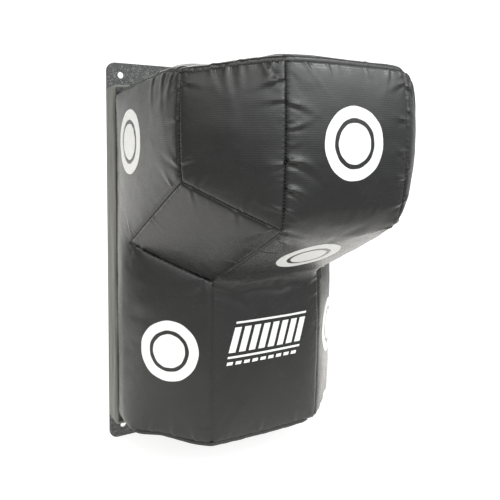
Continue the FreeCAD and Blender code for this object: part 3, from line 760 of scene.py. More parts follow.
def fold_weight(X):
    """1 on a soft fold, falling to 0 over its radius."""
    w = np.zeros(NV)
    for key, r in ((("uf", "UF"), 0.030), (("lf", "LF"), 0.026), (("ls", "bs"), 0.030), (("LS", "BS"), 0.030)):
        a, b = C[key[0]], C[key[1]]
        d, _ = seg_dist(X, a, b)
        w = np.maximum(w, np.clip(1.25 * (1 - d / r), 0, 1))
    return w


free = 1.0 - SEAM
bowf = smooth(BOWV, free * (D0 > 0).astype(float), 260)
# the rear face and the bows on the rear seam stay on the box
fw = fold_weight(X0) * free
X1 = smooth(X0, fw, 46, 0.9)
CRs = smooth(CR, free, 24)
X1 = X1 + bowf
# the top seam sags where the sides meet the chamfers and stands proud along the front
yy = -X0[:, 1]
front = np.clip((yy - UP_SIDE_Y) / (UP_FRONT_Y - UP_SIDE_Y), 0, 1)
back = np.clip(1 - (UP_SIDE_Y - yy) / 0.06, 0, 1)
back = back * back * (3 - 2 * back)
high = np.clip((X0[:, 2] - (TOP_F - 0.13)) / 0.12, 0, 1)
high = high * high * (3 - 2 * high)
X1[:, 2] += high * np.where(yy > UP_SIDE_Y, -0.0072 + 0.0117 * (0.55 * front + 0.45 * (1 - (1 - front) ** 2)), -0.0072 * back)
rim_d = np.full(NV, 9.0)
for p, q in (("ts", "tf"), ("tf", "TF"), ("TF", "TS")):
    rim_d = np.minimum(rim_d, seg_dist(X0, C[p], C[q])[0])
sag = -(0.0036 + 0.0014 * np.sin(np.pi * front ** 0.55)) * np.clip(front / 0.12, 0, 1)
X1[:, 2] += sag * np.exp(-rim_d / 0.013)
N1 = smooth(vnormals(X1), free, 3)
N1 /= np.linalg.norm(N1, axis=1)[:, None]
crown = CRs * (1 - np.exp(-D0 / LA)) + np.minimum(CR, 0.0022) * (1 - np.exp(-D0 / 0.0035))
X2 = X1 + N1 * crown[:, None]

# the broad pillow of each panel between its sewn edges and soft folds, mm at its middle
PILLOW = {"up_front": 11.5, "shelf_front": 3.0, "low_front": 5.0, "up_chamfer": 8.0, "side": 5.0, "low_chamfer": 4.0,
          "shelf": 4.0, "top": 4.0, "bottom": 3.0, "rear": 0.0}
on_fold = np.zeros(NV, bool)
for key, (a, b, ids) in EDGE_PTS.items():
    if key in FOLDS:
        on_fold[ids] = True
loose = ((SEAM == 0) & ~on_fold).astype(float)
len2 = np.sum((X0[EI] - X0[EJ]) ** 2, axis=1)
rhs = DEG * (np.bincount(EI, len2, minlength=NV) / DEG / 4) * loose
field = np.zeros(NV)
res = rhs.copy()
direction = res.copy()
rr = res @ res
for _ in range(400):
    Ad = (DEG * direction - np.bincount(EI, direction[EJ], minlength=NV)) * loose
    alpha = rr / max(direction @ Ad, 1e-30)
    field += alpha * direction
    res -= alpha * Ad
    new = res @ res
    if new < 1e-16 * (rhs @ rhs):
        break
    direction = res + (new / rr) * direction
    rr = new
pillow = np.zeros(NV)
for pi, (name, piece, cs, crown_mm, lam) in enumerate(PANELS):
    base = name[:-2] if name.endswith(("_l", "_r")) else name
    ids = np.unique(TRI[TP == pi])
    ids = ids[loose[ids] > 0]
    pillow[ids] = field[ids] / field[ids].max() * PILLOW[base] * MM
X2 = X2 + N1 * pillow[:, None]
X2 = smooth(X2, np.clip(fold_weight(X0) * 1.2, 0, 1) * free * 0.8, 8)


# ------------------------------------------------------------------ seam puckers and folds, in mm along and off each seam
def ridge(t, s, t0, s0, length, width, lean, amp, curl=0.0):
    """A pucker that starts at t0 on the seam and runs off it, widening: soft on one side, steep with a sunk line on the other."""
    x = t - t0 - lean * s - curl * s * s / max(length, 1e-6)
    w = width * (0.62 + 0.5 * np.minimum(s / length, 1.4))
    along = np.exp(-(np.maximum(s - s0, 0) / length) ** 1.35) * np.clip(s / (s0 + 1e-6), 0, 1) ** 0.7
    rise = np.where(x < 0, np.exp(-(x / w) ** 2), np.exp(-(x / (0.62 * w)) ** 2))
    return amp * along * (rise - 0.5 * np.exp(-((x - 1.25 * w) / (0.75 * w)) ** 2))


# density of puckers per metre of seam, and their mean height in mm
PUCKER = {"up_front": (22, 0.9), "up_chamfer": (20, 0.85), "side": (11, 0.45), "shelf": (18, 0.6), "shelf_front": (14, 0.45),
          "low_front": (12, 0.35), "low_chamfer": (12, 0.4), "top": (24, 1.1), "bottom": (18, 0.8)}
# single larger folds: panel, seam, share of the way from its first corner, length, width, lean, height, curl (mm)
FOLDS_AT = [
    ("up_front", "tf", "uf", 0.26, 26, 5.0, 0.10, 2.4, 0.1), ("up_front", "tf", "uf", 0.40, 24, 4.2, -0.15, 2.0, -0.1),
    ("up_front", "tf", "uf", 0.585, 34, 7.0, -0.10, 4.8, 0.25), ("up_front", "tf", "uf", 0.745, 30, 6.5, 0.05, 4.4, 0.3),
    ("up_front", "tf", "uf", 0.87, 22, 4.5, 0.20, 2.0, 0.2),
    ("up_front", "TF", "UF", 0.09, 26, 4.5, 0.35, 2.2, 0.0), ("up_front", "TF", "UF", 0.33, 22, 4.5, -0.1, 2.0, 0.0),
    ("up_front", "TF", "UF", 0.52, 18, 4.0, 0.1, 1.4, 0.0), ("up_front", "TF", "UF", 0.70, 26, 5.0, -0.2, 2.4, 0.1),
    ("up_front", "TF", "UF", 0.86, 22, 4.5, 0.1, 1.8, 0.0),
    ("up_front", "tf", "TF", 0.12, 26, 5.0, 0.5, 1.8, 0.1), ("up_front", "tf", "TF", 0.30, 18, 4.0, 0.2, 1.2, 0.0),
    ("up_front", "tf", "TF", 0.85, 24, 5.0, -0.4, 1.7, 0.0),
    ("up_chamfer_l", "ts", "tf", 0.30, 30, 5.5, 0.1, 1.8, 0.1), ("up_chamfer_l", "ts", "tf", 0.46, 44, 6.5, -0.08, 2.8, 0.1),
    ("up_chamfer_l", "ts", "tf", 0.58, 36, 5.5, 0.12, 2.2, -0.1), ("up_chamfer_l", "ts", "tf", 0.78, 40, 6.0, 0.35, 2.6, 0.1),
    ("up_chamfer_l", "ts", "tf", 0.90, 34, 5.0, -0.35, 2.4, 0.0),
    ("up_chamfer_l", "tf", "uf", 0.12, 30, 5.0, 0.3, 2.0, 0.0), ("up_chamfer_l", "tf", "uf", 0.24, 22, 5.0, 0.1, 1.6, 0.0),
    ("up_chamfer_l", "tf", "uf", 0.60, 20, 5.0, 0.2, 1.6, 0.0), ("up_chamfer_l", "tf", "uf", 0.88, 26, 5.0, -0.4, 2.0, 0.0),
    ("up_chamfer_l", "ts", "us", 0.10, 26, 5.0, 0.3, 1.8, 0.0), ("up_chamfer_l", "ts", "us", 0.84, 30, 5.5, -0.35, 1.8, 0.0),
    ("up_chamfer_l", "us", "uf", 0.15, 24, 5.0, 0.2, 1.5, 0.0), ("up_chamfer_l", "us", "uf", 0.62, 30, 6.0, 0.1, 1.6, 0.0),
    ("side_l", "tr", "ts", 0.68, 50, 7.5, -0.05, 1.0, 0.1), ("side_l", "tr", "ts", 0.82, 60, 8.0, -0.12, 1.4, 0.1),
    ("side_l", "tr", "ts", 0.93, 36, 5.5, -0.3, 1.5, 0.0), ("side_l", "ts", "us", 0.14, 34, 6.0, 0.45, 1.3, 0.0),
    ("side_l", "ts", "us", 0.45, 22, 5.5, 0.1, 1.4, 0.0), ("side_l", "ts", "us", 0.86, 34, 6.0, -0.4, 1.2, 0.0),
    ("side_l", "us", "ls", 0.10, 34, 6.5, 0.3, 1.2, 0.0), ("side_l", "us", "ls", 0.92, 34, 6.0, -0.3, 1.2, 0.0),
    ("shelf_l", "us", "uf", 0.10, 26, 5.0, 0.3, 1.6, 0.0), ("shelf_l", "us", "uf", 0.55, 24, 6.0, 0.2, 1.5, 0.0),
    ("shelf_l", "us", "uf", 0.90, 30, 5.0, -0.6, 2.2, 0.0), ("shelf_l", "us", "ls", 0.5, 22, 6.0, 0.1, 1.2, 0.0),
    ("shelf_l", "lf", "ls", 0.12, 24, 5.0, 0.3, 1.6, 0.0), ("shelf_l", "lf", "ls", 0.85, 26, 5.0, -0.3, 1.6, 0.0),
    ("shelf_front", "uf", "lf", 0.03, 34, 4.5, 0.30, -3.0, 0.0), ("shelf_front", "uf", "lf", 0.09, 30, 5.0, 0.45, 2.6, 0.2),
    ("shelf_front", "uf", "lf", 0.30, 20, 5.0, 0.1, 1.3, 0.0), ("shelf_front", "uf", "lf", 0.93, 34, 6.0, -0.2, 2.2, 0.0),
    ("shelf_front", "UF", "LF", 0.05, 28, 5.0, 0.3, 2.0, 0.0), ("shelf_front", "UF", "LF", 0.90, 30, 5.5, -0.2, 1.8, 0.0),
    ("low_front", "lf", "bf", 0.04, 44, 7.0, 0.10, 1.0, 0.2), ("low_front", "lf", "bf", 0.12, 40, 8.0, 0.25, 0.9, 0.2),
    ("low_front", "LF", "BF", 0.05, 38, 7.0, 0.10, 0.9, 0.2), ("low_front", "LF", "BF", 0.15, 34, 7.0, 0.2, 0.7, 0.0),
    ("low_front", "bf", "BF", 0.12, 24, 6.5, 0.2, 0.6, 0.0), ("low_front", "bf", "BF", 0.42, 26, 7.0, 0.1, 0.8, 0.0),
    ("low_front", "bf", "BF", 0.78, 24, 7.0, -0.2, 0.7, 0.0),
    ("low_chamfer_l", "lf", "ls", 0.90, 46, 8.0, 0.1, 1.2, 0.0), ("low_chamfer_l", "lf", "ls", 0.08, 34, 7.0, -0.4, 0.9, 0.0),
    ("low_chamfer_l", "bf", "bs", 0.18, 30, 8.0, 0.2, 1.3, 0.0), ("low_chamfer_l", "bf", "bs", 0.45, 34, 9.0, 0.0, 1.5, 0.0),
    ("low_chamfer_l", "bf", "bs", 0.74, 30, 9.0, -0.2, 1.3, 0.0),
]
mirrored = []
for p, a, b, *rest in FOLDS_AT:
    if p.endswith("_l"):
        rr = random.Random(int(rest[0] * 1000) + len(p))
        mirrored.append((p[:-2] + "_r", a.upper(), b.upper(), min(0.95, max(0.05, rest[0] + rr.uniform(-0.05, 0.05))), *rest[1:]))
FOLDS_AT += mirrored


def plane_of(pi):
    O, U, Vv, off = panel_frame(PANELS[pi][0], PANELS[pi][2])
    return lambda P: np.array([(P - O) @ U, (P - O) @ Vv]) + off


def puckers(pi, uv):
    """Height in metres of every pucker and fold of one panel, at points given in the panel's own plane."""
    name, piece, cs, crown, lam = PANELS[pi]
    base = name[:-2] if name.endswith(("_l", "_r")) else name
    small, large = np.zeros(len(uv)), np.zeros(len(uv))
    if base not in PUCKER:
        return small, large
    density, amp = PUCKER[base]
    flat = plane_of(pi)
    best, bk, bt = np.full(len(uv), 9.0), np.full(len(uv), -1), np.zeros(len(uv))
    for i in range(len(cs)):
        key = frozenset((cs[i], cs[(i + 1) % len(cs)]))
        if key in FOLDS:
            continue
        a, b = sorted(key)
        A2, B2 = flat(C[a]), flat(C[b])
        dd, t = seg_dist(uv, A2, B2)
        m = dd < best
        best[m], bk[m], bt[m] = dd[m], SEAM_KEYS.index(key), t[m] * np.linalg.norm(B2 - A2)
    for k in sorted(set(bk.tolist())):
        a, b = sorted(SEAM_KEYS[k])
        L = np.linalg.norm(C[b] - C[a])
        if {a.lower(), b.lower()} in ({"tr", "br"}, {"tr"}, {"br"}):
            continue
        m = bk == k
        r = np.random.default_rng(1000 + pi * 50 + k)
        n = int(L * density)
        h = np.zeros(m.sum())
        t, s = bt[m], best[m]
        for j in range(n):
            t0 = (j + r.uniform(0.1, 0.9)) / n * L
            edge = min(t0, L - t0)
            if edge < 0.006:
                continue
            size = r.uniform(0.25, 1.0) ** 1.6 * (1.35 if edge < 0.05 else 1.0)
            h += ridge(t, s, t0, 0.005, r.uniform(0.007, 0.020) * (0.6 + size), r.uniform(0.0030, 0.0058), r.uniform(-0.4, 0.4), amp * MM * size * r.choice([1.0, 1.0, -0.7]), r.uniform(-0.4, 0.4))
        small[m] += h
    for p, a, b, share, length, width, lean, amp2, curl in FOLDS_AT:
        if p != name:
            continue
        A2, B2 = flat(C[a]), flat(C[b])
        d = (B2 - A2) / np.linalg.norm(B2 - A2)
        q = uv - A2
        t = q @ d
        s = np.abs(q @ np.array([-d[1], d[0]]))
        h = ridge(t, s, share * np.linalg.norm(B2 - A2), 0.005, length * MM * 0.8, width * MM, lean, amp2 * MM, curl)
        large += h * np.clip(best / 0.004, 0, 1)
    return small, large


extra = np.zeros(NV)
panel_ids = {}
for (pi, i) in SEAM_T:
    panel_ids.setdefault(pi, []).append(i)
for pi, ids in sorted(panel_ids.items()):
    small, large = puckers(pi, np.array([CORNER_UV[(pi, i)] for i in ids]))
    extra[ids] += (0.5 * small + 0.5 * large) * free[ids]
# broad, soft unevenness of the stuffed panels
for i in range(NV):
    p = X0[i]
    if D0[i] > 0:
        k = 1 - math.exp(-D0[i] / 0.03)
        extra[i] += k * (0.0022 * mnoise.noise(Vector(p * 8.0)) + 0.0012 * mnoise.noise(Vector((p[0] * 16, p[1] * 16, p[2] * 30))) + 0.0006 * mnoise.noise(Vector(p * 45.0)))


# ------------------------------------------------------------------ cloth
def build_mesh(name, X, tris):
    me = bpy.data.meshes.new(name)
    me.from_pydata([tuple(p) for p in X], [], [tuple(int(i) for i in t) for t in tris])
    me.update()
    return me


def cloth(X, seconds=20, pressure=1.2, shrink=-0.02, weights=None, pins=None, seed_name="cover"):
    """Runs the cover as cloth: sewn lines pinned, air behind it, a little too much material beside the seams."""
    me = build_mesh(seed_name + "_sim", X, TRI)
    ob = bpy.data.objects.new(seed_name + "_sim", me)
    scene.collection.objects.link(ob)
    vg = ob.vertex_groups.new(name="pin")
    for i in range(len(X)):
        vg.add([i], float(pins[i]), "REPLACE")
    vs = ob.vertex_groups.new(name="slack")
    for i in range(len(X)):
        vs.add([i], float(weights[i]), "REPLACE")
    m = ob.modifiers.new("Cloth", "CLOTH")
    c = m.settings
    c.quality = 5
    c.mass = 0.25
    c.air_damping = 2.0
    c.tension_stiffness = 22
    c.compression_stiffness = 22
    c.shear_stiffness = 8
    c.bending_stiffness = 0.35
    c.tension_damping = 8
    c.compression_damping = 8
    c.shear_damping = 6
    c.bending_damping = 1.0
    c.vertex_group_mass = "pin"
    c.pin_stiffness = 1.0
    c.use_pressure = True
    c.uniform_pressure_force = pressure
    c.shrink_min = 0.0
    c.shrink_max = shrink
    c.vertex_group_shrink = "slack"
    c.effector_weights.gravity = 0.0
    m.collision_settings.use_collision = False
    m.collision_settings.use_self_collision = False
    m.point_cache.frame_start = 1
    m.point_cache.frame_end = seconds
    for f in range(1, seconds + 1):
        scene.frame_set(f)
    dg = bpy.context.evaluated_depsgraph_get()
    ev = ob.evaluated_get(dg).to_mesh()
    co = np.zeros(len(X) * 3, np.float32)
    ev.vertices.foreach_get("co", co)
    out = co.reshape(-1, 3).astype(float)
    ob.evaluated_get(dg).to_mesh_clear()
    scene.frame_set(1)
    bpy.data.objects.remove(ob)
    bpy.data.meshes.remove(me)
    return out


import time
T0 = time.time()
N2 = vnormals(X2)
near = np.exp(-D0 / 0.030)
patch = np.array([0.5 + 0.9 * mnoise.noise(Vector(p * 9.0)) for p in X0])
slack = np.clip(near * np.clip(patch + 0.35, 0, 1.2), 0, 1) * free
XS = X2 + N2 * extra[:, None]
hold = np.where(free > 0, 0.02, 1.0)
X3 = cloth(XS, 20, 1.0, -0.10, slack, hold)
d = X3 - X2
L = np.linalg.norm(d, axis=1)
cap = 0.009
k = np.where(L > 1e-9, cap * np.tanh(L / cap) / np.maximum(L, 1e-9), 1.0)
X3 = X2 + d * k[:, None]
print("cloth: %.1f s, moved mean %.2f mm, most %.2f mm" % (time.time() - T0, L.mean() * 1000, L.max() * 1000))

# ------------------------------------------------------------------ subdivide with the seams creased, then sink the seams
me = build_mesh("cover_all", X3, TRI)
ev = np.zeros(len(me.edges) * 2, np.int32)
me.edges.foreach_get("vertices", ev)
ev = ev.reshape(-1, 2)
seam_pairs = set()
for key, (a, b, ids) in EDGE_PTS.items():
    if key not in FOLDS:
        for i in range(len(ids) - 1):
            seam_pairs.add((min(ids[i], ids[i + 1]), max(ids[i], ids[i + 1])))
crease = np.array([1.0 if (min(a, b), max(a, b)) in seam_pairs else 0.0 for a, b in ev.tolist()], np.float32)
at = me.attributes.new("crease_edge", "FLOAT", "EDGE")
at.data.foreach_set("value", crease)
# edge_mm, the distance to the nearest seam in mm, drives the cover's painted seam shade; along the soft lf-bf seams it
# is held at 1.2 mm or more, so the painted shade line there is fainter
at = me.attributes.new("edge_mm", "FLOAT", "POINT")
soft_d = np.minimum(seg_dist(X0, C["lf"], C["bf"])[0], seg_dist(X0, C["LF"], C["BF"])[0])
at.data.foreach_set("value", np.where(soft_d < 0.004, np.maximum(D0 * 1000, 1.2), D0 * 1000).astype(np.float32))
at = me.attributes.new("panel", "INT", "FACE")
at.data.foreach_set("value", TP.astype(np.int32))
lv = np.zeros(len(me.loops), np.int32)
me.loops.foreach_get("vertex_index", lv)
lp = np.repeat(TP, 3)
wv = np.zeros((len(lv), 3), np.float32)
sv = np.zeros((len(lv), 3), np.float32)
for j, (p, v) in enumerate(zip(lp.tolist(), lv.tolist())):
    c = CORNER_UV[(p, v)]
    wv[j, 0], wv[j, 1] = c[0], c[1]
wv[:, 2] = lp * 0.37
at = me.attributes.new("weave", "FLOAT_VECTOR", "CORNER")
at.data.foreach_set("vector", wv.ravel())
whole = bpy.data.objects.new("cover_all", me)
scene.collection.objects.link(whole)
sub = whole.modifiers.new("s", "SUBSURF")
sub.levels = sub.render_levels = 1
dg = bpy.context.evaluated_depsgraph_get()
fine = bpy.data.meshes.new_from_object(whole.evaluated_get(dg), preserve_all_data_layers=True, depsgraph=dg)
bpy.data.objects.remove(whole)
nf = len(fine.vertices)
XF = np.zeros(nf * 3, np.float32)
fine.vertices.foreach_get("co", XF)
XF = XF.reshape(-1, 3).astype(float)
nl = len(fine.loops)
FL = np.zeros(nl, np.int32)
fine.loops.foreach_get("vertex_index", FL)
QF = FL.reshape(-1, 4)
FP = np.zeros(len(QF), np.int32)
fine.attributes["panel"].data.foreach_get("value", FP)
SF = np.zeros(nf, np.float32)
fine.attributes["edge_mm"].data.foreach_get("value", SF)
WF = np.zeros(nl * 3, np.float32)
fine.attributes["weave"].data.foreach_get("vector", WF)
WF = WF.reshape(-1, 4, 3)
print("fine cover:", nf, "points", len(QF), "quads")


def quad_normals(X, Q, n):
    a, b, c, d = (X[Q[:, k]] for k in range(4))
    nn = np.cross(c - a, d - b)
    out = np.zeros((n, 3))
    for k in range(4):
        for j in range(3):
            out[:, j] += np.bincount(Q[:, k], nn[:, j], minlength=n)
    return out / np.maximum(np.linalg.norm(out, axis=1), 1e-12)[:, None]


NF = quad_normals(XF, QF, nf)
sink = 0.0025 * np.exp(-(SF / 2.2) ** 2)
raised = np.zeros(nf)
SOFT_SEAMS = [("lf", "bf"), ("LF", "BF")]
for pi in range(len(PANELS)):
    sel = FP == pi
    used, first = np.unique(QF[sel].ravel(), return_index=True)
    uv = WF[sel].reshape(-1, 3)[first][:, :2].astype(float)
    small, large = puckers(pi, uv)
    raised[used] = (0.75 * small + 0.8 * large) * (SF[used] > 0.05)
    for a, b in SOFT_SEAMS:
        if a in PANELS[pi][2] and b in PANELS[pi][2]:
            flat = plane_of(pi)
            A2, B2 = flat(C[a]), flat(C[b])
            dd, t = seg_dist(uv, A2, B2)
            L = np.linalg.norm(B2 - A2)
            near_line = (dd < 0.010) & (t * L > 0.012) & (t * L < L - 0.012)
            sink[used[near_line]] = np.minimum(sink[used[near_line]], 0.0009)
    if PANELS[pi][0] == "bottom":
        slot = np.hypot(np.maximum(np.abs(uv[:, 0]) - ZIP_X, 0), np.maximum(np.abs(uv[:, 1]) - ZIP_V, 0))
        near_slot = np.exp(-(slot / 0.008) ** 2)
        sink[used] *= 1 - near_slot
        raised[used] *= 1 - near_slot
XF = XF + NF * (raised - sink)[:, None]

PIECE_OF = [p[1] for p in PANELS]
NODES = sorted(set(PIECE_OF))


def add_object(name, mesh, mats, body=BAG):
    ob = bpy.data.objects.new(name, mesh)
    scene.collection.objects.link(ob)
    for m in mats:
        mesh.materials.append(m)
    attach(ob, body)
    return ob


def smooth_shade(mesh):
    mesh.polygons.foreach_set("use_smooth", np.ones(len(mesh.polygons), bool))
    mesh.update()


def mesh_with(name, X, faces, weave=None, edge=None):
    m = bpy.data.meshes.new(name)
    m.from_pydata([tuple(p) for p in np.asarray(X)], [], [tuple(int(i) for i in f) for f in faces])
    if weave is not None:
        a = m.attributes.new("weave", "FLOAT_VECTOR", "POINT")
        a.data.foreach_set("vector", np.asarray(weave, np.float32).ravel())
    if edge is not None:
        a = m.attributes.new("edge_mm", "FLOAT", "POINT")
        a.data.foreach_set("value", np.asarray(edge, np.float32))
    smooth_shade(m)
    return m


def vinyl_sheet(name, used, quads, weave, gauge=0.0011):
    """One cut piece of the cover as a closed sheet of vinyl: face side, back side, and cut edges turned in at the seams."""
    n = len(used)
    face, back = XF[used], XF[used] - NF[used] * gauge
    e = np.concatenate([quads[:, [k, (k + 1) % 4]] for k in range(4)])
    code = np.minimum(e[:, 0], e[:, 1]).astype(np.int64) * n + np.maximum(e[:, 0], e[:, 1])
    u, idx, cnt = np.unique(code, return_index=True, return_counts=True)
    rim = e[idx[cnt == 1]]
    faces = np.concatenate([quads, quads[:, ::-1] + n, np.stack([rim[:, 1], rim[:, 0], rim[:, 0] + n, rim[:, 1] + n], 1)])
    m = mesh_with(name, np.concatenate([face, back]), faces, np.concatenate([weave, weave]), np.concatenate([SF[used], SF[used]]))
    ed = np.zeros(len(m.edges) * 2, np.int32)
    m.edges.foreach_get("vertices", ed)
    ed = ed.reshape(-1, 2)
    lo_, hi_ = ed.min(1).astype(np.int64), ed.max(1).astype(np.int64)
    open_code = set((u[cnt == 1]).tolist())
    key = np.where(hi_ < n, lo_ * n + hi_, np.where(lo_ >= n, (lo_ - n) * n + (hi_ - n), -1))
    sharp = np.isin(key, np.array(sorted(open_code)))
    at = m.attributes.new("sharp_edge", "BOOLEAN", "EDGE")
    at.data.foreach_set("value", sharp)
    print("sheet", name, len(faces), "faces")
    return m


for node in NODES:
    pids = [i for i, p in enumerate(PIECE_OF) if p == node]
    sel = np.isin(FP, pids)
    q = QF[sel]
    used, inv = np.unique(q, return_inverse=True)
    inv = inv.reshape(q.shape)
    weave = np.zeros((len(used), 3))
    weave[inv.ravel()] = WF[sel].reshape(-1, 3)
    # weave z is the panel's own offset; keep one value for the whole piece
    weave[:, 2] = min(pids) * 0.37
    m = vinyl_sheet(node, used, inv, weave)
    add_object("fabric_" + node, m, [M["cover_vinyl"]])
    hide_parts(node)
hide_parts("strike_layer_shelf_front", "strike_layer_lower")
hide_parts("strike_layer_upper")
for sd in ("left", "right"):
    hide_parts("strike_layer_side_" + sd)
    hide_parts("strike_layer_shelf_" + sd)

BVH = BVHTree.FromPolygons([tuple(p) for p in XF], [tuple(q) for q in QF.tolist()])


# ------------------------------------------------------------------ prints laid on the cloth
def conform(P, n, lift):
    """Points near a panel dropped onto the cloth along -n, raised by lift along n."""
    out, wv = [], []
    n = Vector(n)
    for p in P:
        hit, hn, fi, d = BVH.ray_cast(Vector(p) + n * 0.05, -n, 0.12)
        if hit is None:
            hit, hn, fi, d = BVH.find_nearest(Vector(p))
        if hn.dot(n) < 0:
            hn = -hn
        out.append(np.array(hit + hn * lift))
        wv.append(WF[fi][0][:2])
    return np.array(out), wv


def print_patch(name, loops, n, O, U, V, node):
    """loops: list of (2-D points as an m by k grid, closed in k). A thin closed skin on the cloth."""
    X, F, Wv = [], [], []
    base = 0
    for grid, closed in loops:
        m, k = grid.shape[:2]
        P = O + grid[..., :1] * U + grid[..., 1:] * V
        flat_p = P.reshape(-1, 3)
        up, _ = conform(flat_p, n, 0.00042)
        lo, _ = conform(flat_p, n, -0.0006)
        w2 = np.concatenate([grid.reshape(-1, 2), np.zeros((m * k, 1))], 1)
        X += [up, lo]
        Wv += [w2, w2]
        tot = m * k
        idx = lambda i, j, s=0: base + s * tot + i * k + (j % k)
        kk = k if closed else k - 1
        for i in range(m - 1):
            for j in range(kk):
                F.append((idx(i, j), idx(i, j + 1), idx(i + 1, j + 1), idx(i + 1, j)))
                F.append((idx(i, j, 1), idx(i + 1, j, 1), idx(i + 1, j + 1, 1), idx(i, j + 1, 1)))
        for j in range(kk):
            F.append((idx(0, j), idx(0, j, 1), idx(0, j + 1, 1), idx(0, j + 1)))
            F.append((idx(m - 1, j), idx(m - 1, j + 1), idx(m - 1, j + 1, 1), idx(m - 1, j, 1)))
        if not closed:
            for i in range(m - 1):
                F.append((idx(i, 0), idx(i + 1, 0), idx(i + 1, 0, 1), idx(i, 0, 1)))
                F.append((idx(i, k - 1), idx(i, k - 1, 1), idx(i + 1, k - 1, 1), idx(i + 1, k - 1)))
        base += 2 * tot
    m = mesh_with(name, np.concatenate(X), F, np.concatenate(Wv))
    bm = bmesh.new()
    bm.from_mesh(m)
    bmesh.ops.recalc_face_normals(bm, faces=bm.faces)
    bm.to_mesh(m)
    bm.free()
    smooth_shade(m)
    ob = add_object("print_" + name, m, [M["white_print"]])
    m.materials.clear()
    m.materials.append(M["white_print"])
    e = ob.modifiers.new("flat edges", "EDGE_SPLIT")
    e.split_angle = math.radians(50)
    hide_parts(node)
    return ob


def ring_grid(r0, r1, rows, around, seed):
    r = np.random.default_rng(seed)
    th = np.arange(around) / around * 2 * math.pi
    ph = r.uniform(0, 6.28, 4)
    out = np.zeros((rows, around, 2))
    for i in range(rows):
        t = i / (rows - 1)
        rad = r0 + (r1 - r0) * t
        wob = 0.00025 * np.sin(5 * th + ph[0]) + 0.0002 * np.sin(11 * th + ph[1]) if t in (0.0, 1.0) and rad > 0.002 else 0
        out[i, :, 0] = (rad + wob) * np.cos(th)
        out[i, :, 1] = (rad + wob) * np.sin(th)
    return out


def radius_of(node):
    lo, hi = lohi(node)
    return (hi[2] - lo[2]) / 2


RR = radius_of("target_upper_front")
RI, RS = RR * 40.2 / 59.0, RR * 32.7 / 59.0
TARGETS = [("target_side_left", "side_l", (0, -1, 0), (0, 0, 1)), ("target_side_right", "side_r", (0, -1, 0), (0, 0, 1)),
           ("target_upper_front", "up_front", (1, 0, 0), (0, 0, 1)), ("target_shelf", "shelf_front", (1, 0, 0), None),
           ("target_lower_left", "low_chamfer_l", None, (0, 0, 1)), ("target_lower_right", "low_chamfer_r", None, (0, 0, 1))]
for q, (node, panel, U, V) in enumerate(TARGETS):
    lo, hi = lohi(node)
    c = (lo + hi) / 2
    n = NORMAL[panel]
    U = np.cross(np.array(V, float), n) if U is None else np.array(U, float)
    V = np.cross(n, U) if V is None else np.array(V, float)
    U, V = U / np.linalg.norm(U), V / np.linalg.norm(V)
    loops = [(ring_grid(RI, RR, 7, 120, 40 + q), True), (ring_grid(0.0004, RS, 11, 96, 60 + q), True)]
    print_patch(node, loops, n, c, U, V, node)


def bar_grid(x0, x1, z0, z1, slant, h=0.004):
    a = max(2, int((x1 - x0) / h) + 1)
    b = max(3, int((z1 - z0) / h) + 1)
    g = np.zeros((b, a, 2))
    for i in range(b):
        t = i / (b - 1)
        g[i, :, 0] = np.linspace(x0, x1, a) + slant * t
        g[i, :, 1] = z0 + (z1 - z0) * t
    return g


lo, hi = lohi("front_print")
BARS = [(-92 + 21.2 * i, -78 + 21.2 * i, -160, -112, 14) for i in range(8)]
BARS += [(-76, 86, -105, -101, 1.2), (-94, 69, -171, -167, 1.2)]
BARS += [(-96 + 18 * i, -84 + 18 * i, -184, -178, 1.8) for i in range(9)]
loops = [(bar_grid(*[v * MM for v in b]), False) for b in BARS]
print_patch("front_print", loops, NORMAL["low_front"], np.array([0, lo[1], 0.0]), np.array([1.0, 0, 0]), np.array([0, 0, 1.0]), "front_print")


# ------------------------------------------------------------------ thread in the seams
def seam_path(key):
    """The seam's line on the finished cloth, with the outward direction at each point."""
    a, b, ids = EDGE_PTS[key]
    P = X3[ids]
    out = sum(NORMAL[p] for p in EDGE_OF[key])
    out = out / np.linalg.norm(out)
    return P, out


def resample(P, step):
    seg = np.linalg.norm(np.diff(P, axis=0), axis=1)
    s = np.concatenate([[0], np.cumsum(seg)])
    n = max(2, int(s[-1] / step))
    t = (np.arange(n) + 0.5) / n * s[-1]
    Q = np.stack([np.interp(t, s, P[:, k]) for k in range(3)], 1)
    T = np.stack([np.interp(np.minimum(t + 0.002, s[-1]), s, P[:, k]) - np.interp(np.maximum(t - 0.002, 0), s, P[:, k]) for k in range(3)], 1)
    return Q, T / np.linalg.norm(T, axis=1)[:, None]


def capsule(c, along, side, up, length, r, X, F):
    base = len(X)
    ring = 6
    for t, k in ((-0.5, 0.35), (-0.36, 0.9), (0.0, 1.05), (0.36, 0.9), (0.5, 0.35)):
        for j in range(ring):
            a = 2 * math.pi * j / ring
            arch = 0.35 * r * (1 - (2 * t) ** 2)
            X.append(c + along * (t * length) + side * (math.cos(a) * r * k) + up * (math.sin(a) * r * k + arch))
    for i in range(4):
        for j in range(ring):
            F.append((base + i * ring + j, base + i * ring + (j + 1) % ring, base + (i + 1) * ring + (j + 1) % ring, base + (i + 1) * ring + j))
    F.append(tuple(base + j for j in reversed(range(ring))))
    F.append(tuple(base + 4 * ring + j for j in range(ring)))


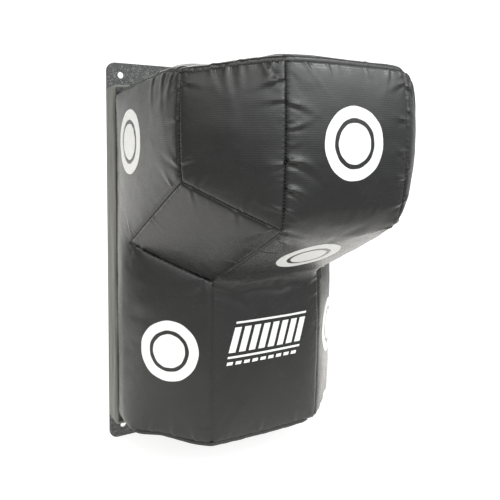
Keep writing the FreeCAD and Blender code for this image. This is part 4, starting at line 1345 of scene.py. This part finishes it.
SX, SFc = [], []
r = random.Random(11)
for key in SEAM_KEYS:
    a, b = sorted(key)
    if {a.lower(), b.lower()} == {"tr"} or {a.lower(), b.lower()} == {"br"}:
        continue
    P, out = seam_path(key)
    Q, T = resample(P, 0.0052)
    for p, t in zip(Q, T):
        across = np.cross(out, t)
        across /= np.linalg.norm(across)
        up = np.cross(t, across)
        if up @ out < 0:
            up = -up
        d = t * 0.75 + across * 0.65
        d /= np.linalg.norm(d)
        side = np.cross(up, d)
        capsule(p - up * 0.0020, d, side, up, 0.0030 + r.uniform(-0.0004, 0.0004), 0.00036, SX, SFc)
m = mesh_with("seam_stitches", np.array(SX), SFc, np.array(SX))
add_object("seam_stitches", m, [M["thread"]])


# ------------------------------------------------------------------ binding along the bottom seam
def swept(name, P, outs, downs, w, h, mat, node, n=14, wav=0.0):
    X, F, Wv = [], [], []
    s = 0.0
    for i, p in enumerate(P):
        if i:
            s += np.linalg.norm(P[i] - P[i - 1])
        o, d = outs[i], downs[i]
        fade = min(1.0, 0.35 + min(i, len(P) - 1 - i) * 0.25)
        for j in range(n):
            a = 2 * math.pi * j / n
            ca, sa = math.cos(a), math.sin(a)
            ca = math.copysign(abs(ca) ** 0.6, ca)
            sa = math.copysign(abs(sa) ** 0.6, sa)
            k = 1 + wav * mnoise.noise(Vector((s * 60, j * 0.5, 3.0)))
            X.append(p + o * (ca * w * fade * k) + d * (sa * h * fade * k))
            Wv.append((s, a * 0.002, 0.0))
    for i in range(len(P) - 1):
        for j in range(n):
            F.append((i * n + j, (i + 1) * n + j, (i + 1) * n + (j + 1) % n, i * n + (j + 1) % n))
    F.append(tuple(range(n)))
    F.append(tuple((len(P) - 1) * n + j for j in reversed(range(n))))
    m = mesh_with(name, np.array(X), F, np.array(Wv))
    ob = add_object(name, m, [mat])
    if node:
        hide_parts(node)
    return ob


def ordered(key, start):
    a, b, ids = EDGE_PTS[frozenset(key)]
    return X3[ids] if a == start else X3[ids[::-1]]


Pa = ordered(("bs", "bf"), "bs")[1:]
Pb = ordered(("bf", "BF"), "bf")
end_x = lohi("bottom_seam_binding")[1][0]
Pb = Pb[Pb[:, 0] < end_x]
path = np.concatenate([Pa, Pb[1:]])
na, nb = NORMAL["low_chamfer_l"], NORMAL["low_front"]
outs, downs = [], []
for i, p in enumerate(path):
    t = np.clip((i - len(Pa) + 4) / 8.0, 0, 1)
    o = na * (1 - t) + nb * t
    outs.append(o / np.linalg.norm(o))
    downs.append(np.array([0, 0, -1.0]))
path = path + np.array(outs) * 0.0004 + np.array(downs) * 0.0004
swept("binding_strip", path, outs, downs, 0.0019, 0.0031, M["binding_tape"], "bottom_seam_binding", wav=0.25)

# ------------------------------------------------------------------ zip tapes
for node in ("zip_tape_front", "zip_tape_rear"):
    lo, hi = lohi(node)
    yn = -hi[1] if node.endswith("front") else -lo[1]
    nu, nv = 160, 8
    zmid = (lo[2] + hi[2]) / 2
    slope = (BOT_F - BOT_R) / (LOW_FRONT_Y - REAR_Y)
    X, F, Wv = [], [], []
    for side in (0, 1):
        for i in range(nu):
            for j in range(nv):
                x = lerp(lo[0], hi[0], i / (nu - 1))
                y = lerp(-hi[1] + 0.0001, -lo[1] - 0.0001, j / (nv - 1))
                z = zmid + slope * (y - (-(lo[1] + hi[1]) / 2)) + (0.00030 if side else -0.00030)
                z += 0.00022 * mnoise.noise(Vector((x * 45, y * 60, 1.0)))
                X.append((x, -y, z))
                Wv.append((x, y, 0))
    tot = nu * nv
    for i in range(nu - 1):
        for j in range(nv - 1):
            a, b, c, d = i * nv + j, (i + 1) * nv + j, (i + 1) * nv + j + 1, i * nv + j + 1
            F += [(a, b, c, d), (a + tot, d + tot, c + tot, b + tot)]
    for i in range(nu - 1):
        for j in (0, nv - 1):
            a, b = i * nv + j, (i + 1) * nv + j
            F.append((a, b, b + tot, a + tot))
    for j in range(nv - 1):
        for i in (0, nu - 1):
            a, b = i * nv + j, i * nv + j + 1
            F.append((a, b, b + tot, a + tot))
    m = mesh_with(node, X, F, Wv)
    bm = bmesh.new()
    bm.from_mesh(m)
    bmesh.ops.recalc_face_normals(bm, faces=bm.faces)
    bm.to_mesh(m)
    bm.free()
    ob = add_object("fabric_" + node, m, [])
    m.materials.clear()
    m.materials.append(M["zip_tape"])
    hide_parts(node)

# ------------------------------------------------------------------ vinyl wrap on the backing box
w_lo, w_hi = lohi("frame_wrap")
BX, BZ = w_hi[0], w_hi[2]
YB, YF = w_hi[1], w_lo[1]
rc = 0.007
corner = []
nseg = 8
per = []
step = 0.0055
sides = [((BX, -BZ + rc), (BX, BZ - rc)), ((BX - rc, BZ), (-BX + rc, BZ)), ((-BX, BZ - rc), (-BX, -BZ + rc)), ((-BX + rc, -BZ), (BX - rc, -BZ))]
centres = [(BX - rc, BZ - rc), (-BX + rc, BZ - rc), (-BX + rc, -BZ + rc), (BX - rc, -BZ + rc)]
acc = 0.0
for si in range(4):
    a, b = np.array(sides[si][0]), np.array(sides[si][1])
    n = int(np.linalg.norm(b - a) / step)
    nn = np.array([(b - a)[1], -(b - a)[0]]) / np.linalg.norm(b - a)
    for i in range(n):
        per.append((lerp(a, b, i / n), nn, acc + np.linalg.norm(b - a) * i / n, si))
    acc += np.linalg.norm(b - a)
    th0 = math.atan2(nn[1], nn[0])
    for i in range(nseg):
        th = th0 + math.pi / 2 * i / nseg
        d = np.array([math.cos(th), math.sin(th)])
        per.append((np.array(centres[si]) + d * rc, d, acc + rc * math.pi / 2 * i / nseg, -1))
    acc += rc * math.pi / 2
# profile from the rear edge forward, round the front arris, then in over the front
prof = []
rf = 0.0045
for y in np.linspace(0.0005, (YB - YF) - rf, 11):
    prof.append((0.0, y))
for i in range(1, 6):
    th = math.pi / 2 * i / 5
    prof.append((rf * (1 - math.cos(th)), (YB - YF) - rf + rf * math.sin(th)))
for d in np.linspace(0.011, 0.05, 7):
    prof.append((d, YB - YF))
X, Wv, F = [], [], []
K, Mn = len(prof), len(per)
for i, (p, d, s, si) in enumerate(per):
    v = 0.0
    for j, (inn, y) in enumerate(prof):
        if j:
            v += math.hypot(prof[j][0] - prof[j - 1][0], prof[j][1] - prof[j - 1][1])
        q = p - d * inn
        if inn > rc:
            q = np.array([max(-BX + inn, min(BX - inn, q[0])), max(-BZ + inn, min(BZ - inn, q[1]))])
        Y = YB - y
        # soft drag lines of stretched cloth, and a slight even hump over the wrapped sides
        lines = 0.0008 * mnoise.noise(Vector((s * 4, v * 55, 0.3))) + 0.0004 * mnoise.noise(Vector((s * 26, v * 60, 2.3)))
        env = min(1.0, y / 0.01) * (1.0 if j < K - 7 else 0.0)
        gap = min(abs(s - e) for e in [acc * 0] + [x[2] for x in per if False] + [0.0])
        hump = 0.0006 * env
        X.append((q[0] + d[0] * (lines * env + hump), Y, q[1] + d[1] * (lines * env + hump)))
        Wv.append((v, s, 0))
for i in range(Mn):
    for j in range(K - 1):
        a, b = i * K + j, ((i + 1) % Mn) * K + j
        F.append((a, b, b + 1, a + 1))
m = mesh_with("box_wrap", X, F, Wv)
bm = bmesh.new()
bm.from_mesh(m)
bmesh.ops.recalc_face_normals(bm, faces=bm.faces)
bm.to_mesh(m)
bm.free()
smooth_shade(m)
wrap = add_object("fabric_frame_wrap", m, [])
m.materials.clear()
m.materials.append(M["box_vinyl"])
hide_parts("frame_wrap")

bevel("mounting_plate", 0.0006)
for n in ("pad_bolts", "pad_washers", "plate_screws", "zip_pull_tab"):
    bevel(n, 0.0002)

# ------------------------------------------------------------------ stage
# centre, radius and strength of each pool of light on the backdrop (m)
POOLS = [
    ((0.0, -0.2, -0.4), 0.55, 0.49),
    ((-0.9, 0.0, -0.4), 0.60, 1.25),
    ((0.9, 0.0, -0.4), 0.60, 1.44),
    ((-0.5, -1.2, -0.4), 0.60, 0.32),
    ((-1.8, -1.9, -0.4), 0.90, 0.09),
    ((0.0, -2.4, -0.4), 0.90, 0.36),
    ((1.7, -2.0, -0.4), 0.90, 0.03),
    ((-1.5, 1.6, 0.0), 0.90, 0.92),
    ((-0.3, 1.8, 0.0), 0.90, 0.56),
    ((1.5, 1.9, -0.2), 0.80, 0.45),
    ((1.1, 2.4, 1.5), 0.85, 1.25),
    ((-2.6, 0.6, -0.3), 0.90, 0.29),
]

def backdrop():
    me = bpy.data.meshes.new("backdrop")
    prof = [(-3.5, 0.0), (1.2, 0.0)]
    R = 1.2
    for i in range(1, 13):
        th = math.pi / 2 * i / 12
        prof.append((1.2 + R * math.sin(th), R - R * math.cos(th)))
    prof.append((2.4, 5.0))
    X, F = [], []
    for i, (y, z) in enumerate(prof):
        for x in (-6.0, 6.0):
            X.append((x, y, z - 0.4012))
    for i in range(len(prof) - 1):
        F.append((2 * i, 2 * i + 1, 2 * i + 3, 2 * i + 2))
    me.from_pydata(X, [], F)
    smooth_shade(me)
    ob = bpy.data.objects.new("backdrop", me)
    scene.collection.objects.link(ob)
    g = G("backdrop")
    n = g.noise(g.coords(), 3.0, 3.0)
    pale = g.mix(n, (0.30, 0.30, 0.298), (0.32, 0.32, 0.318))
    g.base(Base_Color=pale, Roughness=0.9)
    seen = g.node("ShaderNodeLightPath").outputs["Is Camera Ray"]
    g.put(g.b.inputs["Emission Color"], g.mix(seen, (1.02, 1.0, 0.955), (1.0, 1.0, 0.998)))
    # the card is lit in soft pools round the product; seen straight on it is an even white
    pos = g.node("ShaderNodeNewGeometry").outputs["Position"]
    acc = None
    for centre, radius, k in POOLS:
        dist = g.node("ShaderNodeVectorMath", operation="DISTANCE")
        g.link(pos, dist.inputs[0])
        dist.inputs[1].default_value = centre
        q = g.math("POWER", g.math("DIVIDE", dist.outputs["Value"], radius), 2.0)
        e = g.math("EXPONENT", g.math("MULTIPLY", q, -1.0))
        acc = g.math("MULTIPLY_ADD", e, k, acc if acc is not None else 0.0)
    g.put(g.b.inputs["Emission Strength"], g.math("MULTIPLY_ADD", seen, g.math("SUBTRACT", 0.84, acc), acc))
    # from underneath, the floor is looked through
    under = g.math("MULTIPLY", seen, g.node("ShaderNodeNewGeometry").outputs["Backfacing"])
    clear = g.node("ShaderNodeBsdfTransparent")
    both = g.node("ShaderNodeMixShader")
    g.put(both.inputs[0], under)
    g.link(g.b.outputs[0], both.inputs[1])
    g.link(clear.outputs[0], both.inputs[2])
    end = [n for n in g.m.node_tree.nodes if n.type == "OUTPUT_MATERIAL"][0]
    g.link(both.outputs[0], end.inputs["Surface"])
    me.materials.append(g.m)
    ob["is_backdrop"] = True


backdrop()


def area(name, loc, target, size, power, colour=(1, 1, 1), shape="RECTANGLE", sy=None):
    L = bpy.data.lights.new(name, "AREA")
    L.energy = power
    L.color = colour
    L.shape = shape
    L.size = size
    L.size_y = sy or size
    ob = bpy.data.objects.new(name, L)
    ob.location = loc
    d = Vector(target) - Vector(loc)
    ob.rotation_euler = d.to_track_quat("-Z", "Y").to_euler()
    scene.collection.objects.link(ob)
    ob.visible_camera = False
    return ob


world = bpy.data.worlds.new("studio")
scene.world = world
world.use_nodes = True
nt = world.node_tree
bg = nt.nodes["Background"]
bg.inputs[0].default_value = (1.0, 1.0, 1.0, 1)
# large soft panels round the front of the studio: height in degrees, then strengths from the left wall side round to the right
PANES = [
    (6, -100, 25, [0.34, 0.50, 0.50, 0.82, 0.76, 0.88, 0.60, 0.30, 0.25]),
    (30, -100, 25, [0.55, 1.30, 1.95, 2.30, 2.85, 3.45, 2.50, 0.95, 0.30]),
    (56, -105, 42, [0.50, 0.90, 1.20, 1.20, 0.80, 0.25]),
    (84, 0, 1, [0.25]),
]
tc = nt.nodes.new("ShaderNodeTexCoord")
acc = None
for el, az0, step, strengths in PANES:
    for i, k in enumerate(strengths):
        if k < 0.02:
            continue
        az, e = math.radians(az0 + step * i), math.radians(el)
        dot = nt.nodes.new("ShaderNodeVectorMath")
        dot.operation = "DOT_PRODUCT"
        nt.links.new(tc.outputs["Generated"], dot.inputs[0])
        dot.inputs[1].default_value = (math.cos(e) * math.sin(az), -math.cos(e) * math.cos(az), math.sin(e))
        top = nt.nodes.new("ShaderNodeMath")
        top.operation = "MAXIMUM"
        top.inputs[1].default_value = 0.0
        nt.links.new(dot.outputs["Value"], top.inputs[0])
        pw = nt.nodes.new("ShaderNodeMath")
        pw.operation = "POWER"
        pw.inputs[1].default_value = 26.0
        nt.links.new(top.outputs[0], pw.inputs[0])
        ma = nt.nodes.new("ShaderNodeVectorMath")
        ma.operation = "MULTIPLY_ADD"
        tint = (1.03, 1.0, 0.955) if az < math.radians(-60) else (0.985, 1.003, 1.0)
        ma.inputs[1].default_value = tuple(k * v for v in tint)
        ma.inputs[2].default_value = (0.0, 0.0, 0.0)
        nt.links.new(pw.outputs[0], ma.inputs[0])
        if acc is not None:
            nt.links.new(acc, ma.inputs[2])
        acc = ma.outputs[0]
paper = nt.nodes.new("ShaderNodeMix")
paper.data_type = "RGBA"
nt.links.new(nt.nodes.new("ShaderNodeLightPath").outputs["Is Camera Ray"], paper.inputs[0])
nt.links.new(acc, paper.inputs[6])
paper.inputs[7].default_value = (0.93, 0.93, 0.925, 1.0)
nt.links.new(paper.outputs[2], bg.inputs[0])
bg.inputs[1].default_value = 1.0
area("top_right", (1.25, -1.65, 2.1), (0.0, -0.35, 0.15), 0.5, 9.0, (1.0, 0.995, 0.985))
area("top_left", (-1.25, -1.05, 2.4), (-0.1, -0.35, 0.15), 0.5, 5.5, (1.0, 0.99, 0.97))

# ------------------------------------------------------------------ camera
cam = bpy.data.cameras.new("camera")
co = bpy.data.objects.new("camera", cam)
scene.collection.objects.link(co)
yaw, pitch, roll = math.radians(30.63), math.radians(-4.96), math.radians(0.63)
fwd = Vector((math.sin(yaw) * math.cos(pitch), math.cos(yaw) * math.cos(pitch), math.sin(pitch)))
right = Vector((math.cos(yaw), -math.sin(yaw), 0))
up = right.cross(fwd)
r2 = right * math.cos(roll) + up * math.sin(roll)
u2 = -right * math.sin(roll) + up * math.cos(roll)
R = Matrix((r2, u2, -fwd)).transposed()
co.matrix_world = Matrix.Translation((-0.62113, -1.23756, 0.23156)) @ R.to_4x4()
cam.sensor_width = 36.0
cam.lens = 604.28 / 500.0 * 36.0
cam.shift_x = -(254.14 - 250.0) / 500.0
cam.shift_y = (198.62 - 250.0) / 500.0
cam.clip_start, cam.clip_end = 0.05, 30.0
scene.camera = co
scene.view_settings.view_transform = "Standard"
scene.view_settings.look = "None"

lo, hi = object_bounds()
